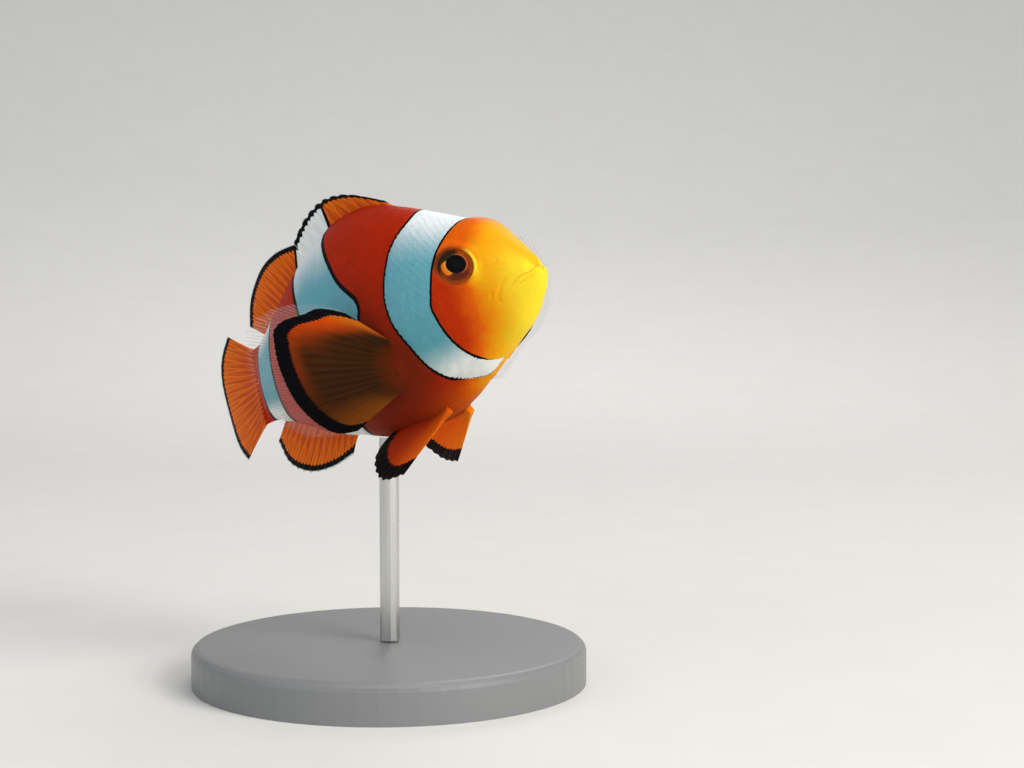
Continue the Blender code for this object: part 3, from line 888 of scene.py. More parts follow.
# %% Even spacing round each ring
TABLE_ROWS = 300
TABLE_STEPS = 720
ANGLE_STATIONS = np.linspace(0.05, TAIL_ROOT, TABLE_ROWS + 1)
ANGLE_STEPS = np.linspace(0.0, 2 * math.pi, TABLE_STEPS + 1)
ring_points = smooth_body(ANGLE_STATIONS[:, None], ANGLE_STEPS[None, :])
ring_steps = np.linalg.norm(np.diff(ring_points, axis=1), axis=2)
ring_length = np.pad(np.cumsum(ring_steps, axis=1), ((0, 0), (1, 0)))
SHARES = np.linspace(0.0, 1.0, TABLE_STEPS + 1)
ANGLE_TABLE = np.stack([np.interp(SHARES * row[-1], row, ANGLE_STEPS) for row in ring_length])


def angle_at(station, share):
    """Angle of the point that lies a given share of the way round its ring."""
    row = (np.asarray(station) - ANGLE_STATIONS[0]) / (ANGLE_STATIONS[1] - ANGLE_STATIONS[0])
    row = np.clip(row, 0.0, TABLE_ROWS - 0.001)
    turns = np.floor(share)
    column = (share - turns) * TABLE_STEPS
    i = row.astype(int)
    j = np.minimum(column.astype(int), TABLE_STEPS - 1)
    u = row - i
    v = column - j
    low = ANGLE_TABLE[i, j] * (1 - v) + ANGLE_TABLE[i, j + 1] * v
    high = ANGLE_TABLE[i + 1, j] * (1 - v) + ANGLE_TABLE[i + 1, j + 1] * v
    return low * (1 - u) + high * u + turns * 2 * math.pi


def ring_at(station):
    """Length of the ring round the body at a station."""
    return np.interp(station, ANGLE_STATIONS, ring_length[:, -1])


print("round the body at the deepest place:", round(float(ring_at(32.0)), 1), "mm")

# %% Skin mesh
AROUND = 328
CAP_RADII = np.linspace(0.06, 1.0, 12)
CAP_ROWS = SNOUT_START * (1 - np.sqrt(1 - CAP_RADII ** 2))
SKIN_ROWS = np.concatenate((
    CAP_ROWS,
    np.linspace(SNOUT_START, 5.0, 46)[1:],
    np.linspace(5.0, 15.5, 86)[1:],
    np.linspace(15.5, 27.0, 47)[1:],
    np.linspace(27.0, TAIL_ROOT, 108)[1:],
))


def marks_of(station, angle):
    """The numbers that the skin recipe reads at each point."""
    place = smooth_body(station, angle)
    inside, line = band_marks(station, angle)
    lie = np.stack(np.broadcast_arrays(station, fold_of(angle), place[..., 2]), -1)
    return {
        "fish": place.reshape(-1, 3), "lie": lie.reshape(-1, 3), "band": inside.ravel(),
        "line": line.ravel(), "crease_shade": crease_shade_mask(station, place[..., 2]).ravel(),
    }


def make_skin():
    station = np.broadcast_to(SKIN_ROWS[:, None], (len(SKIN_ROWS), AROUND))
    share = np.broadcast_to(np.arange(AROUND) / AROUND, station.shape)
    angle = angle_at(station, share)
    points = posed(on_skin(station, angle))
    faces = grid_faces(*station.shape, closed=True).tolist()
    faces.append(list(range(AROUND))[::-1])
    last = (len(SKIN_ROWS) - 1) * AROUND
    faces.append([last + j for j in range(AROUND)])
    return make_piece("skin", points, faces, marks_of(station, angle), SKIN)


skin = make_skin()
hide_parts("head", "lower_jaw", "gill_cover_left", "gill_cover_right", "trunk", "tail_stalk")
print("skin:", len(skin.data.polygons), "faces")

# %% [markdown]
# ## Scales
# A clownfish wears small, thin scales that overlap like roof tiles, with their round edges towards the
# tail.  Each scale here is a closed shell that follows the body's curve and rises by a few hundredths
# of a millimetre to its rear edge.  They stand in staggered rings, and a ring holds fewer of them
# towards the tail.  The lips, the snout and the eye's rim are bare.  Each scale also has a patch of its
# own on an unwrap of the body, by station and by share of the way round.

# %% Where the scales grow
SCALE_ZONES = ((8.5, 50.0, 52), (50.0, 64.0, 42), (64.0, 73.6, 28))
SCALE_LENGTH = 2.3
SCALE_HALF_WIDTH = 0.60
RING_PITCH = 0.56


def scale_roots():
    """Root station, share round the ring, and ring pitch of every scale."""
    roots = []
    for start, end, count in SCALE_ZONES:
        station = start
        odd = 0
        while station < end:
            pitch = float(ring_at(station)) / count
            for j in range(count):
                roots.append((station, (j + 0.25 + 0.5 * odd) / count, pitch))
            station += RING_PITCH * pitch
            odd = 1 - odd
    return np.array(roots)


def scaled(roots):
    """Keep the roots that lie where the fish has scales."""
    station, share = roots[:, 0], roots[:, 1]
    angle = angle_at(station, share)
    place = smooth_body(station, angle)
    fold = fold_of(angle)
    first = curve((0, 30, 55, 90, 125, 150, 180), (9.0, 9.8, 13.6, 13.4, 12.6, 12.2, 13.0), fold)
    from_eye = np.hypot(station + 0.8 - EYE_STATION, place[:, 2] - EYE_LEVEL)
    from_arm = np.hypot((station - 24.6) / 1.9, (place[:, 2] + 7.4) / 3.0)
    clear = (from_eye > 4.2) & (from_arm > 1.0) & (fold > 2.0) & (fold < 178.0)
    return roots[clear & (station > first)]


ROOTS = scaled(scale_roots())
print("scales:", len(ROOTS))

# %% Scale meshes
SCALE_ROWS = np.array((0.0, 0.4, 0.75, 1.0))
SCALE_COLUMNS = np.linspace(-1.0, 1.0, 5)
SCALE_SINK = 0.05
SCALE_RISE = 0.062
BAKE_PATCH = 0.003


def scale_faces():
    """Faces of one shell: its top, a skirt round it and its underside."""
    rows, columns = len(SCALE_ROWS), len(SCALE_COLUMNS)
    top = grid_faces(rows, columns)[:, ::-1].tolist()
    rim = list(range(columns))
    rim += [i * columns + columns - 1 for i in range(1, rows)]
    rim += [(rows - 1) * columns + j for j in range(columns - 2, -1, -1)]
    rim += [i * columns for i in range(rows - 2, 0, -1)]
    base = rows * columns
    skirt = []
    for k, here in enumerate(rim):
        after = (k + 1) % len(rim)
        skirt.append([here, rim[after], base + after, base + k])
    under = [base + k for k in range(len(rim))]
    return top + skirt + [under], rim


def make_scales(name, roots, seed):
    faces, rim = scale_faces()
    random = np.random.default_rng(seed)
    count = len(roots)
    root, share, pitch = (roots[:, k, None, None] for k in range(3))
    t = SCALE_ROWS[None, :, None]
    s = SCALE_COLUMNS[None, None, :]
    length = SCALE_LENGTH * RING_PITCH * pitch * random.uniform(0.94, 1.06, (count, 1, 1))
    station = root + length * (t - 0.30 * s * s * t)
    station = np.minimum(station, TAIL_ROOT - 0.05)
    across = s * SCALE_HALF_WIDTH * pitch * (0.72 + 0.28 * np.sin(math.pi * np.minimum(t * 0.85, 1.0)))
    angle = angle_at(station, share + across / ring_at(station))
    fade = rise_to(root, 8.5, 13.0)
    lift = -SCALE_SINK + (SCALE_SINK + SCALE_RISE * (0.45 + 0.55 * fade)) * t ** 0.8 - 0.012 * s * s
    top = on_skin(station, angle, lift * np.ones_like(station))
    under = on_skin(station, angle, np.full_like(station, -SCALE_SINK - 0.03))
    grid = (count, -1, 3)
    points = np.concatenate((top.reshape(grid), under.reshape(grid)[:, rim]), axis=1)
    marks = marks_of(station, angle)

    def shell(values):
        """Values of the top points, then those of the underside's points below them."""
        values = values.reshape(count, station[0].size, -1)
        both = np.concatenate((values, values[:, rim]), axis=1)
        return both.reshape(count * points.shape[1], -1).squeeze()

    numbers = {key: shell(values) for key, values in marks.items()}
    tone = np.broadcast_to(random.uniform(-1.0, 1.0, (count, 1, 1)), station.shape)
    numbers["tone"] = shell(tone)
    rear = rise_to(t + 0.25 * (1 - s * s), 0.92, 1.22)
    numbers["rear"] = shell(np.broadcast_to(rear, station.shape))
    every = (np.arange(count)[:, None] * points.shape[1]).tolist()
    all_faces = [[first[0] + k for k in face] for first in every for face in faces]
    piece = make_piece(name, posed(points), all_faces, numbers, SKIN)
    piece.data.set_sharp_from_angle(angle=math.radians(50.0))
    patch_u = (root / TAIL_ROOT + BAKE_PATCH * (t - 0.5)) * np.ones_like(station)
    patch_v = (share + BAKE_PATCH * 0.5 * s) * np.ones_like(station)
    add_bake_map(piece, shell(np.stack((patch_u, patch_v), -1)))
    return piece


def add_bake_map(piece, places):
    """A map that holds each point's place on the unwrapped body."""
    layer = piece.data.uv_layers.new(name="OFBake")
    corners = np.zeros(len(piece.data.loops), np.int32)
    piece.data.loops.foreach_get("vertex_index", corners)
    layer.data.foreach_set("uv", places[corners].astype(np.float32).ravel())


for number, (name, on_right) in enumerate((("scales_right", True), ("scales_left", False))):
    side_roots = ROOTS[(ROOTS[:, 1] < 0.5) == on_right]
    made = make_scales(name, side_roots, 11 + number)
    made.data.calc_loop_triangles()
    print(name, len(side_roots), "scales,", len(made.data.loop_triangles), "triangles")

# %% [markdown]
# ## Eyes
# The eye is a separate button that fills the skin's socket.  Its front follows the flank of the head, a
# little below the socket's rim.  The pupil is an oval, longer fore and aft, and its lens stands proud as
# a dark dome.  A thin pale bead rings it, a ring of its own that is painted only in front and above,
# where it also stands for a painted highlight.  The iris is dark brown, redder in front, with painted
# shade making it darker behind and above, and a bright crescent hugs the pupil behind and below.  The
# back is a plain closed bowl.  A painted ball would be simpler, but it could not show the lens standing
# out of the iris.

# %% Eye recipe
# painted shade on the iris behind and above the pupil
IRIS_SHADE = (0.030, 0.016, 0.006)
IRIS_RED = (0.30, 0.034, 0.004)
IRIS_BROWN = (0.46, 0.080, 0.004)
IRIS_LOW = (0.115, 0.022, 0.007)
# a pale ring of its own, brightest where the painted highlight falls
BEAD_AND_HIGHLIGHT = (0.62, 0.19, 0.05)
CRESCENT = (0.95, 0.22, 0.010)
CRESCENT_LIGHT = (1.0, 0.42, 0.07)
PUPIL = (0.002, 0.002, 0.003)


def eye_paint():
    recipe = Recipe("wet_eye")
    reach, ahead, above = recipe.axes(recipe.place("disc"))
    edge = recipe.number("edge")
    grain = recipe.noise(recipe.stretch(recipe.place("disc"), (1.2, 5.0, 5.0)), 1.6, 3.0) - 0.5
    outer = recipe.step(edge + grain * 0.12, 0.70, 0.96)
    colour = recipe.mix(outer, IRIS_RED, IRIS_BROWN)
    low = recipe.step(ahead * 0.25 - above * 0.95 + grain * 0.4, 0.30, 0.85)
    colour = recipe.mix(low * (1 - outer * 0.8), colour, IRIS_LOW)
    # painted shade: the iris darkens behind and above the pupil
    rear = recipe.step(ahead * -0.85 + above * 0.50 + grain * 0.5, 0.15, 0.80)
    colour = recipe.mix(rear, colour, IRIS_SHADE)
    colour = recipe.dim(colour, 1 + grain * 0.9)
    facing = ahead * -0.90 - above * 0.43
    width = recipe.step(facing - above * 0.04 + grain * 0.10, 0.70, 1.0) * 0.50
    crescent = recipe.step(reach - width + grain * 0.14, 1.18, 0.94) * recipe.step(facing, 0.70, 0.84)
    glow = recipe.mix(recipe.step(reach, 1.30, 1.05), CRESCENT, CRESCENT_LIGHT)
    colour = recipe.mix(crescent, colour, glow)
    # the bead is a ring of its own, painted only in front and above as a painted highlight
    bead_and_highlight = recipe.step(reach, 1.05, 1.09) * recipe.step(reach, 1.18, 1.12)
    bead_and_highlight = bead_and_highlight * recipe.step(ahead * 0.87 + above * 0.50 + grain * 0.4, -0.25, 0.9)
    colour = recipe.mix(bead_and_highlight * 0.85, colour, BEAD_AND_HIGHLIGHT)
    colour = recipe.mix(recipe.step(reach, 1.05, 0.98), colour, PUPIL)
    return recipe.finish(
        Base_Color=colour, Roughness=0.35, Specular_IOR_Level=0.04,
        Coat_Weight=0.06, Coat_Roughness=0.05,
    )


EYE = eye_paint()
print("eye recipe:", len(EYE.node_tree.nodes), "nodes")

# %% Eye meshes
EYE_AROUND = 96
EYE_FRONT_RINGS = 44
IRIS_SINK = 0.20
PUPIL_AHEAD = 0.20
PUPIL_ABOVE = 0.37
PUPIL_HALF_LENGTH = 1.66
PUPIL_HALF_HEIGHT = 1.27
EYE_BACK = ((2.40, -0.9), (2.0, -1.5), (1.3, -2.0))


def eye_front(long, short):
    """Height of the eye's front above the smooth body, and distance from the pupil in pupil radii."""
    reach = np.hypot(long / SOCKET_STRETCH, short)
    pupil = np.hypot((long - PUPIL_AHEAD) / PUPIL_HALF_LENGTH, (short - PUPIL_ABOVE) / PUPIL_HALF_HEIGHT)
    height = -IRIS_SINK - 0.16 * (reach / SOCKET_RADIUS) ** 3
    lens = 0.26 * np.sqrt(np.maximum(1 - (pupil * 0.97) ** 2, 0.0)) + 0.03
    height = height + lens * (1 - rise_to(pupil, 0.96, 1.04)) + 0.04 * bell(pupil - 1.12, 0.06)
    return height, pupil


def make_eye(word, side):
    turn_by = np.linspace(0.0, 2 * math.pi, EYE_AROUND, endpoint=False)[None, :]
    front_reach = np.linspace(0.0, 1.0, EYE_FRONT_RINGS)[1:] * (SOCKET_RADIUS + 0.22)
    back_reach = np.array([row[0] for row in EYE_BACK])
    reach = np.concatenate((front_reach, back_reach))[:, None]
    long = reach * SOCKET_STRETCH * np.cos(turn_by)
    short = reach * np.sin(turn_by)
    height, pupil = eye_front(long, short)
    height[len(front_reach):] = np.array([row[1] for row in EYE_BACK])[:, None]
    long = np.concatenate(((0.0,), long.ravel()))
    short = np.concatenate(((0.0,), short.ravel()))
    first_height, first_pupil = eye_front(long[:1], short[:1])
    height = np.concatenate((first_height, height.ravel()))
    pupil = np.concatenate((first_pupil, pupil.ravel()))
    ahead, above = np.linalg.solve(EYE_TURN, np.stack((long, short)))
    station = EYE_STATION - ahead
    level = EYE_LEVEL + above
    top, bottom, middle = section(station)[:3]
    half = np.where(level > middle, top - middle, middle - bottom)
    angle = np.arccos((level - middle) / half) * side
    points = smooth_body(station, angle) + outward(station, angle) * height[:, None]
    rings = len(reach)
    faces = (grid_faces(rings, EYE_AROUND, closed=True) + 1).tolist()
    faces += [[0, 1 + (j + 1) % EYE_AROUND, 1 + j] for j in range(EYE_AROUND)]
    last = 1 + (rings - 1) * EYE_AROUND
    faces.append([last + j for j in range(EYE_AROUND)])
    from_pupil = np.hypot(long - PUPIL_AHEAD, short - PUPIL_ABOVE) + 1e-6
    disc = np.stack((pupil, (long - PUPIL_AHEAD) / from_pupil, (short - PUPIL_ABOVE) / from_pupil), -1)
    edge = np.hypot(long / SOCKET_STRETCH, short) / SOCKET_RADIUS
    eye = make_piece(f"eyeball_{word}", posed(points), faces, {"disc": disc, "edge": edge}, EYE)
    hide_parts(f"eye_{word}")
    print(eye.name, len(eye.data.polygons), "faces")


make_eye("right", 1)
make_eye("left", -1)

# %% [markdown]
# ## Fin rays
# A fin is a web of skin stretched over bony rays.  Each ray forks once near its middle and again
# further out, so the web's edge is finely ribbed.  One function gives the height of the ribs at any
# place, and both the mesh and the colours use it.

# %% Ribs of a fin

def ribs(phase, reach, forks=2):
    """Height of the ribs, 0 to 1; phase is whole on a ray, and reach runs from root to edge."""
    first = 0.25 * rise_to(reach, 0.30, 0.80)
    second = 0.125 * rise_to(reach, 0.60, 1.05) if forks > 1 else 0.0 * reach
    from_ray = phase - np.round(phase)
    width = 0.17 - 0.06 * rise_to(reach, 0.3, 0.9)
    height = np.zeros(np.broadcast(phase, reach).shape)
    for one in (-1, 1):
        for two in (-1, 1):
            offset = from_ray - one * first - two * second
            offset = offset - np.round(offset)
            height = np.maximum(height, bell(offset, width))
    return height


def sheet_faces(rows, columns):
    """Faces of a thin closed sheet: two sides of rows by columns points, and its rim."""
    front = grid_faces(rows, columns)
    back = front[:, ::-1] + rows * columns
    rim = np.concatenate((
        np.arange(columns),
        np.arange(1, rows) * columns + columns - 1,
        (rows - 1) * columns + np.arange(columns - 2, -1, -1),
        np.arange(rows - 2, 0, -1) * columns,
    ))
    after = np.roll(rim, -1)
    edge = np.stack((after, rim, rim + rows * columns, after + rows * columns), -1)
    return np.concatenate((front, back, edge)).tolist()


print("ribs on a ray and between two:", np.round(ribs(np.array((1.0, 1.5)), np.array((0.1, 0.1))), 2))

# %% [markdown]
# ## Fin colours
# All fins are orange with a black margin, toothed on its inner side because it follows the rays, and
# most have a thin pale edge.  On the pectoral fins the web beyond the black is nearly clear, with pale
# rays in it.  Painted shade makes the middle of each pectoral fin a dark olive brown, browner towards
# the black and at the root, and painted light makes its upper edge red and gold.  The pelvic fins run
# from deep red to bright orange across their rays in painted shade and painted light, the far one
# painted brighter than the near one, and are thin enough for light to pass in.

# %% Recipe for fins
FIN_ORANGE = (0.78, 0.115, 0.004)
FIN_BRIGHT = (0.88, 0.22, 0.008)
FIN_DEEP = (0.50, 0.045, 0.004)
# painted light on the pectoral fin's upper edge, and painted shade elsewhere on it
ARM_LIT_RED = (0.46, 0.048, 0.002)
ARM_HIGHLIGHT_GOLD = (0.46, 0.115, 0.005)
ARM_SHADE_BROWN = (0.17, 0.024, 0.003)
ARM_LOW_SHADE = (0.19, 0.050, 0.005)
# painted shade in the middle of the pectoral fin
OLIVE_SHADE = (0.036, 0.0125, 0.003)
# painted shade and painted light: dark to bright across each pelvic fin, the far fin painted brighter
# than the near
SHADED_HIP = ((0.20, 0.014, 0.002), (0.70, 0.12, 0.004))
LIT_HIP = ((0.95, 0.14, 0.002), (1.0, 0.26, 0.003))
PALE_EDGE = (0.62, 0.66, 0.70)
CLEAR_WEB = (0.26, 0.25, 0.26)
CLEAR_RAY = (0.40, 0.41, 0.43)


def arm_colour(recipe, share, reach, margin, streak, rib):
    """The pectoral fin inside its black edge, with painted shade in its middle and painted light along
    its upper edge.
    """
    # painted shade: the middle of the fin is dark olive brown
    colour = recipe.dim(OLIVE_SHADE, 1 + (rib - 0.4) * 0.35 + streak * 0.9)
    # painted shade, lighter on the lower rays
    lower = recipe.step(share + streak * 0.08, 0.66, 0.98) * recipe.step(reach, 0.10, 0.45)
    colour = recipe.mix(lower, colour, ARM_LOW_SHADE)
    # painted shade, browner towards the black edge
    border = recipe.step(margin + streak * 2.4, 4.6, 2.2) * recipe.step(share, 0.80, 0.35)
    colour = recipe.mix(border, colour, ARM_SHADE_BROWN)
    # painted light: the upper edge is red
    upper = recipe.step(share + streak * 0.12, 0.37, 0.10) * recipe.step(margin + streak * 4.0, 9.5, 3.0)
    colour = recipe.mix(upper, colour, ARM_LIT_RED)
    # painted highlight: gold along the top rays
    colour = recipe.mix(recipe.step(share + streak * 0.05, 0.13, 0.02) * upper, colour, ARM_HIGHLIGHT_GOLD)
    # painted shade at the root, as on the body next to it
    return recipe.mix(recipe.step(reach, 0.26, 0.03), colour, ARM_ROOT_SHADE)


def fin_paint(name, black_width, pale_width, arm=False, hip=None):
    recipe = Recipe(name)
    phase, reach, share = recipe.axes(recipe.place("fin"))
    margin = recipe.number("margin")
    rib = recipe.number("rib")
    band = recipe.number("band")
    streak_place = recipe.stretch(recipe.place("fin"), (5.0, 1.6, 0.0))
    streak = recipe.noise(streak_place, 1.0, 3.0, 0.6) - 0.5
    fine = recipe.noise(recipe.place("fish"), 4.0, 3.0) - 0.5
    hair = recipe.wave((phase + streak * 0.12) * 4)
    if arm:
        colour = arm_colour(recipe, share, reach, margin, streak, rib)
        toothed = margin + hair * 0.16 + streak * 0.5 + fine * 0.10
        edge_colour = recipe.mix(recipe.step(hair, -0.2, 0.9), CLEAR_WEB, CLEAR_RAY)
    else:
        colour = recipe.mix(recipe.step(rib, 0.10, 0.9), FIN_DEEP, FIN_ORANGE)
        glow = recipe.step(streak + reach * 0.4, -0.10, 0.55)
        colour = recipe.mix(glow * 0.55, colour, FIN_BRIGHT)
        if hip:
            # painted shade on the first rays and painted light on the last
            front = recipe.step(share + streak * 0.25, 0.45, 1.10)
            colour = recipe.mix(0.93, colour, recipe.mix(front, *hip))
        toothed = margin + (rib - 0.5) * 0.42 + streak * 0.5 + fine * 0.12
        edge_colour = PALE_EDGE
    colour = recipe.dim(colour, 1 + streak * 0.35 + fine * 0.12 + hair * 0.05)
    ink = recipe.step(recipe.number("line") + fine * 0.2, -1.12, -0.88)
    colour = recipe.mix(ink, colour, BLACK)
    white = recipe.step(band + fine * 0.12, -0.04, 0.05)
    colour = recipe.mix(white, colour, recipe.dim(BACK_WHITE, 0.92 + rib * 0.08))
    black = recipe.step(toothed, black_width + 0.10, black_width - 0.10)
    colour = recipe.mix(black, colour, BLACK)
    ragged = margin - (rib - 0.5) * 0.12 + fine * 0.14
    rim = recipe.step(ragged, pale_width + 0.05, pale_width - 0.05)
    colour = recipe.mix(rim, colour, edge_colour)
    inputs = {
        "Base_Color": colour,
        "Roughness": 0.42 + fine * 0.1,
        "Normal": recipe.bump(hair * 0.5 + fine, 0.30, 0.00004),
        "Subsurface_Weight": 0.70 if hip else 0.10,
        "Subsurface_Radius": (1.0, 0.4, 0.15),
        "Subsurface_Scale": 0.0012 if hip else 0.0005,
        "Coat_Weight": 0.02,
        "Coat_Roughness": 0.2,
        "Specular_IOR_Level": 0.03,
    }
    if arm:
        web = 0.05 + recipe.step(hair + streak, -0.2, 1.0) * 0.11
        fray = recipe.step(margin + streak * 2.4 + hair * 0.5, -4.8, -2.4)
        inputs["Alpha"] = 1 - rim * (1 - web * fray)
    return recipe.finish(**inputs)


PECTORAL_PAINT = fin_paint("pectoral_web", 2.25, 0.0, arm=True)
# shaded and lit copies of the pelvic fins' paint
SHADED_PELVIC_PAINT = fin_paint("shaded_pelvic_web", 3.3, 0.10, hip=SHADED_HIP)
LIT_PELVIC_PAINT = fin_paint("lit_pelvic_web", 3.3, 0.10, hip=LIT_HIP)
MEDIAN_PAINT = fin_paint("median_web", 1.55, 0.32)
for paint in (PECTORAL_PAINT, SHADED_PELVIC_PAINT, LIT_PELVIC_PAINT, MEDIAN_PAINT):
    print(paint.name, len(paint.node_tree.nodes), "nodes")

# %% [markdown]
# ## Fin meshes
# Each fin starts as its middle surface, a grid from the first ray to the last and from root to edge.
# It then gets two sides, thick at the fleshy root and thin at the edge, with the ribs standing out on
# both.  The web sags a little between rays, its edge is scalloped, and the whole sheet waves gently.

# %% One fin from its middle surface
PER_RAY = 10
OFF_BAND = -9.0
BAND_LINE = 0.75


def build_fin(name, node, middle, grid, paint, root, sheet, white=None):
    """A closed, ribbed sheet over a middle surface that is a grid of rays by steps."""
    phase, reach, lengths, margin = grid
    thick, wave, ribbing = sheet
    across = np.gradient(middle, axis=0)
    along = np.gradient(middle, axis=1)
    normal = np.cross(across, along)
    normal /= np.maximum(np.linalg.norm(normal, axis=-1, keepdims=True), 1e-9)
    rib = ribs(phase, reach)
    from_root = reach * lengths
    flesh = thick * np.exp(-np.maximum(from_root - 0.6, 0.0) / 1.5)
    half = 0.045 + flesh + ribbing * rib * (1.0 - 0.45 * reach)
    half = half * (1 - 0.55 * rise_to(reach, 0.93, 1.0))
    last = phase.max()
    sag = 0.5 * ribbing * np.cos(2 * math.pi * phase) * rise_to(reach, 0.1, 0.5)
    swell = wave * reach ** 1.6 * np.sin(2 * math.pi * (1.35 * phase / last + 0.15 + 0.25 * reach))
    middle = middle + normal * (sag + swell)[..., None]
    points = np.concatenate((
        (middle + normal * half[..., None]).reshape(-1, 3),
        (middle - normal * half[..., None]).reshape(-1, 3),
    ))
    bare = np.full(phase.shape, OFF_BAND)
    band, line = (bare, bare) if white is None else (white, white / BAND_LINE)
    flat = {"band": band, "line": line, "margin": margin, "rib": rib}
    numbers = {key: np.tile(values.ravel(), 2) for key, values in flat.items()}
    numbers["fish"] = points
    numbers["fin"] = np.tile(np.stack((phase, reach, phase / last), -1).reshape(-1, 3), (2, 1))
    fin = make_piece(name, posed(points, root), sheet_faces(*phase.shape), numbers, paint)
    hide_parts(node)
    print(fin.name, len(fin.data.polygons), "faces")


def ray_grid(rays, steps):
    """Phase along the fin and reach from root to edge, as grids."""
    phase = np.linspace(0.0, rays - 1.0, (rays - 1) * PER_RAY + 1)[:, None]
    reach = 1 - (1 - np.linspace(0.0, 1.0, steps)) ** 1.15
    return np.broadcast_arrays(phase, reach[None, :])


def scallop(phase, depth):
    """Share of full length along a fin's edge: whole at the rays' tips and less between them."""
    return 1 - depth * np.sin(math.pi * phase) ** 2 - 0.3 * depth * np.sin(math.pi * phase * 4) ** 2

# %% Paired fins
FIN_SINK = 1.2
PAIRED_THICK = 0.42
PECTORAL_SIZES = (12.2, 21.5, 24.8, 24.0, 21.6, 18.0, 10.6)
PELVIC_SIZES = (13.1, 16.2, 16.0, 11.9)
PECTORAL_KIND = (
    (-25.4, 6.75, -7.4), 2.4, (32.0, -40.0), PECTORAL_SIZES, 19, 60, 0.02, 0.026,
)
PELVIC_KIND = (
    (-23.6, 1.9, -14.2), 1.5, (18.0, -16.0), PELVIC_SIZES, 11, 52, 0.025, 0.055,
)
NEAR_EDGE = (
    (0.0, 0.06, 0.135, 0.21, 0.255, 0.31, 0.48, 0.705, 0.83, 0.92, 1.0),
    (10.8, 14.5, 16.6, 19.4, 20.1, 19.75, 18.4, 16.5, 15.0, 13.4, 10.6),
)
FAR_EDGE = (
    (0.0, 0.06, 0.135, 0.21, 0.255, 0.31, 0.48, 0.60, 0.665, 0.715, 0.755, 0.855, 1.0),
    (10.8, 14.5, 16.6, 19.4, 20.1, 19.75, 18.3, 16.5, 14.8, 12.1, 9.2, 6.2, 4.6),
)


def fin_frame(origin, side, sweep, lift, twist):
    sweep, lift, twist = (math.radians(v) for v in (sweep, lift, twist))
    along = np.array((
        -math.cos(sweep) * math.cos(lift),
        -side * math.sin(sweep) * math.cos(lift),
        math.sin(lift),
    ))
    across = np.array((0.0, 0.0, 1.0)) - along * along[2]
    across /= np.linalg.norm(across)
    across = math.cos(twist) * across + math.sin(twist) * np.cross(along, across)
    return np.array(origin) - along * FIN_SINK, along, across


def fan(frame_of_fin, root_half, angles, lengths, phase, reach, cup):
    """Rays that spread from a short root line, in the plane of two directions."""
    origin, along, across = frame_of_fin
    share = phase / phase.max()
    angle = np.radians(angles[0] + (angles[1] - angles[0]) * share)
    a = reach * lengths * np.cos(angle)
    b = root_half * (1 - 2 * share) + reach * lengths * np.sin(angle)
    bow = cup * b * b / 10.0
    flat = origin + a[..., None] * along + b[..., None] * across
    return flat + bow[..., None] * np.cross(along, across)


def paired_fin(name, side, kind, hold, cup, edge, paint, wave):
    """One of two like fins, held out from the body by its own sweep, lift and twist in degrees."""
    root, root_half, angles, sizes, rays, steps, depth, ribbing = kind
    phase, reach = ray_grid(rays, steps)
    share = phase / phase.max()
    full = curve(np.linspace(0, 1, len(sizes)), sizes, share)
    lengths = full * scallop(phase, depth)
    margin = (curve(*edge, share) if edge else full) - reach * lengths
    origin = (root[0], -side * root[1], root[2])
    middle = fan(fin_frame(origin, side, *hold), root_half, angles, lengths, phase, reach, cup)
    word, place = name.split("_")
    grid = (phase, reach, lengths, margin)
    build_fin(name, f"{word}_fin_{place}", middle, grid, paint, -root[0], (PAIRED_THICK, wave, ribbing))


for row in (
    ("pectoral_right", 1, PECTORAL_KIND, (46.0, 10.0, -14.0), 0.35, NEAR_EDGE, PECTORAL_PAINT, 0.22),
    ("pectoral_left", -1, PECTORAL_KIND, (102.0, 38.0, 18.0), -0.35, FAR_EDGE, PECTORAL_PAINT, 0.30),
    ("pelvic_right", 1, PELVIC_KIND, (16.5, -25.0, 32.0), 0.2, None, SHADED_PELVIC_PAINT, 0.25),
    ("pelvic_left", -1, PELVIC_KIND, (16.5, -14.0, -28.0), -0.2, None, LIT_PELVIC_PAINT, 0.25),
):
    paired_fin(*row)

# %% [markdown]
# The fins on the midline stand on the back and belly, and their rays lean back.  They bend with the
# spine.  The middle white band runs a little way up both halves of the dorsal fin.

# %% Midline and tail fins
SPINY_DORSAL = ((28.0, 51.8), (2.6, 5.2, 6.4, 6.0, 4.4), (52.0, 38.0), 11, False, 0.10, 34)
SOFT_DORSAL = ((52.2, 68.5), (4.4, 7.6, 9.6, 9.2, 6.0), (38.0, 62.0), 15, False, 0.03, 46)
ANAL_KIND = ((47.5, 67.0), (3.4, 6.6, 8.8, 8.8, 5.6), (34.0, 60.0), 14, True, 0.03, 46)
MIDLINE_SHEET = (0.34, 0.16, 0.055)
TAIL_SHEET = (0.5, 0.25, 0.055)
TAIL_STEPS = 60
TAIL_SCALLOP = 0.015
TAIL_SINK = 1.0
TAIL_HALF_ROOT = 5.9
TAIL_SPREAD = 26.0
TAIL_SHARES = (0.68, 0.93, 1.0, 0.93, 0.68)
TAIL_RAYS = 16
BAND_ON_FIN = 5.0
BAND_STATIONS = (44.0, 54.5)
BAND_LEANS = (0.30, 0.1)


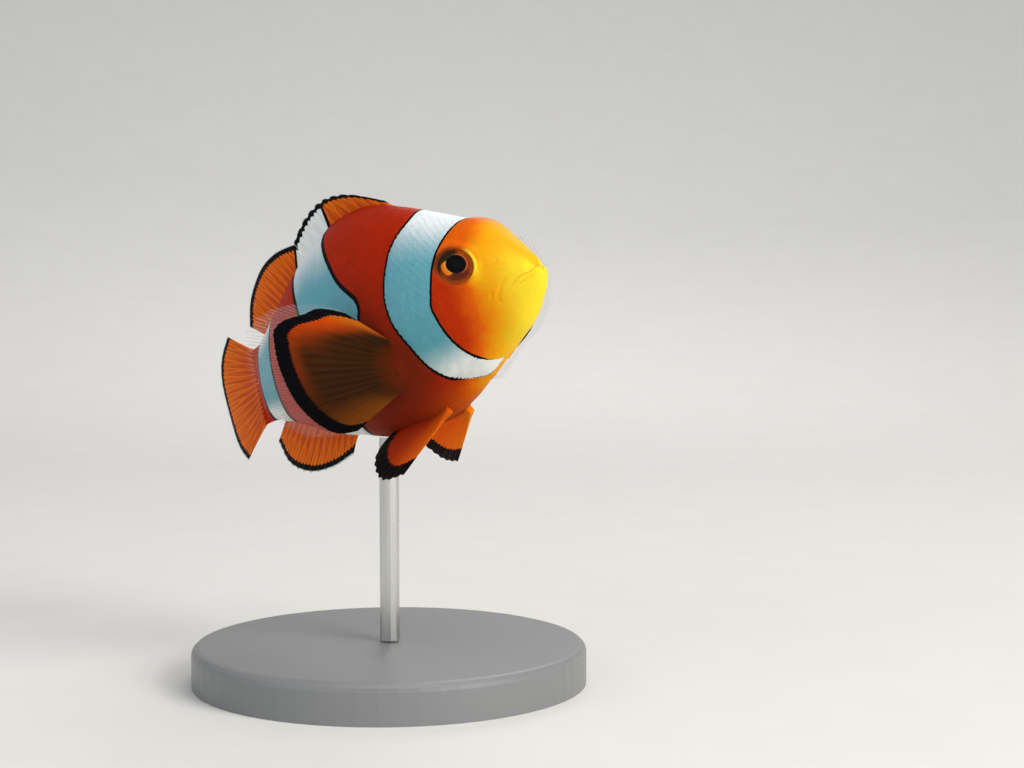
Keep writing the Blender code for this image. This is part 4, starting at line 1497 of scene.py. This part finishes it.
def midline_fin(name, kind, node):
    """A fin on the back or belly, sunk a little into it."""
    stations, sizes, leans, rays, below, depth, steps = kind
    phase, reach = ray_grid(rays, steps)
    share = phase / phase.max()
    station = stations[0] + (stations[1] - stations[0]) * share
    full = curve(np.linspace(0, 1, len(sizes)), sizes, share)
    lengths = full * scallop(phase, depth)
    lean = np.radians(leans[0] + (leans[1] - leans[0]) * share)
    top, bottom = section(station)[:2]
    sunk = reach * (lengths + FIN_SINK) - FIN_SINK
    x = -station - sunk * np.sin(lean)
    z = np.where(below, bottom, top) + np.where(below, -1.0, 1.0) * sunk * np.cos(lean)
    middle = np.stack((x, np.zeros_like(x), z), -1)
    from_front = -x - BAND_STATIONS[0] - BAND_LEANS[0] * sunk
    from_rear = BAND_STATIONS[1] - BAND_LEANS[1] * sunk + x
    white = np.minimum(np.minimum(from_front, from_rear), BAND_ON_FIN - sunk)
    white = np.where(below, OFF_BAND, white)
    grid = (phase, reach, lengths, full - sunk)
    build_fin(name, node, middle, grid, MEDIAN_PAINT, None, MIDLINE_SHEET, white)


def tail_fin():
    """The tail fin, a fan from the end of the tail stalk."""
    phase, reach = ray_grid(TAIL_RAYS, TAIL_STEPS)
    share = phase / phase.max()
    full = (TOTAL_LENGTH - TAIL_ROOT) * curve(np.linspace(0, 1, len(TAIL_SHARES)), TAIL_SHARES, share)
    lengths = full * scallop(phase, TAIL_SCALLOP)
    level = float(section(np.array(TAIL_ROOT))[2])
    origin = (-TAIL_ROOT + TAIL_SINK, 0.0, level)
    place = [np.array(row) for row in (origin, (-1.0, 0.0, 0.0), (0.0, 0.0, 1.0))]
    spread = (TAIL_SPREAD, -TAIL_SPREAD)
    middle = fan(place, TAIL_HALF_ROOT, spread, lengths + TAIL_SINK, phase, reach, 0.0)
    grid = (phase, reach, lengths, full + TAIL_SINK - reach * (lengths + TAIL_SINK))
    build_fin("tail_web", "caudal_fin", middle, grid, MEDIAN_PAINT, None, TAIL_SHEET)


midline_fin("dorsal_spines", SPINY_DORSAL, "dorsal_fin_spiny")
midline_fin("dorsal_web", SOFT_DORSAL, "dorsal_fin_soft")
midline_fin("anal_web", ANAL_KIND, "anal_fin")
tail_fin()

# %% [markdown]
# ## Stand
# The base and the rod are right as solids, so they stay and get better finishes.  The base is a satin
# grey plastic with a very fine moulded grain, and the rod is steel that was brushed along its length.

# %% Finishes of the stand

def base_paint():
    recipe = Recipe("moulded_grey")
    point = recipe.add("ShaderNodeNewGeometry", out="Position")
    grain = recipe.noise(point, 2600.0, 2.0) - 0.5
    cloud = recipe.noise(point, 45.0, 3.0) - 0.5
    colour = recipe.dim((0.21, 0.215, 0.225), 1 + cloud * 0.16 + grain * 0.06)
    return recipe.finish(
        Base_Color=colour, Roughness=0.42 + cloud * 0.08 + grain * 0.06,
        Normal=recipe.bump(grain, 0.30, 0.00005),
    )


def rod_paint():
    recipe = Recipe("brushed_steel")
    point = recipe.add("ShaderNodeNewGeometry", out="Position")
    brushed = recipe.noise(recipe.stretch(point, (2400.0, 2400.0, 60.0)), 1.0, 2.0) - 0.5
    colour = recipe.dim((0.62, 0.62, 0.61), 1 + brushed * 0.20)
    return recipe.finish(
        Base_Color=colour, Metallic=1.0, Roughness=0.28 + brushed * 0.16,
        Normal=recipe.bump(brushed, 0.20, 0.00002),
    )


for node, paint in (("stand_base", base_paint()), ("stand_rod", rod_paint())):
    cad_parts[node].material_slots[0].material = paint
    print(node, "is finished in", paint.name)

# %% [markdown]
# The dressed fish must stay the size of the solids.  The box of each is written down side by side.

# %% The two boxes side by side
VISUAL_BOX = [list(corner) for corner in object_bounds()]
for label, box in (("solids", CAD_BOX), ("dressed", VISUAL_BOX)):
    print(label, [[round(v / MM, 2) for v in corner] for corner in box])
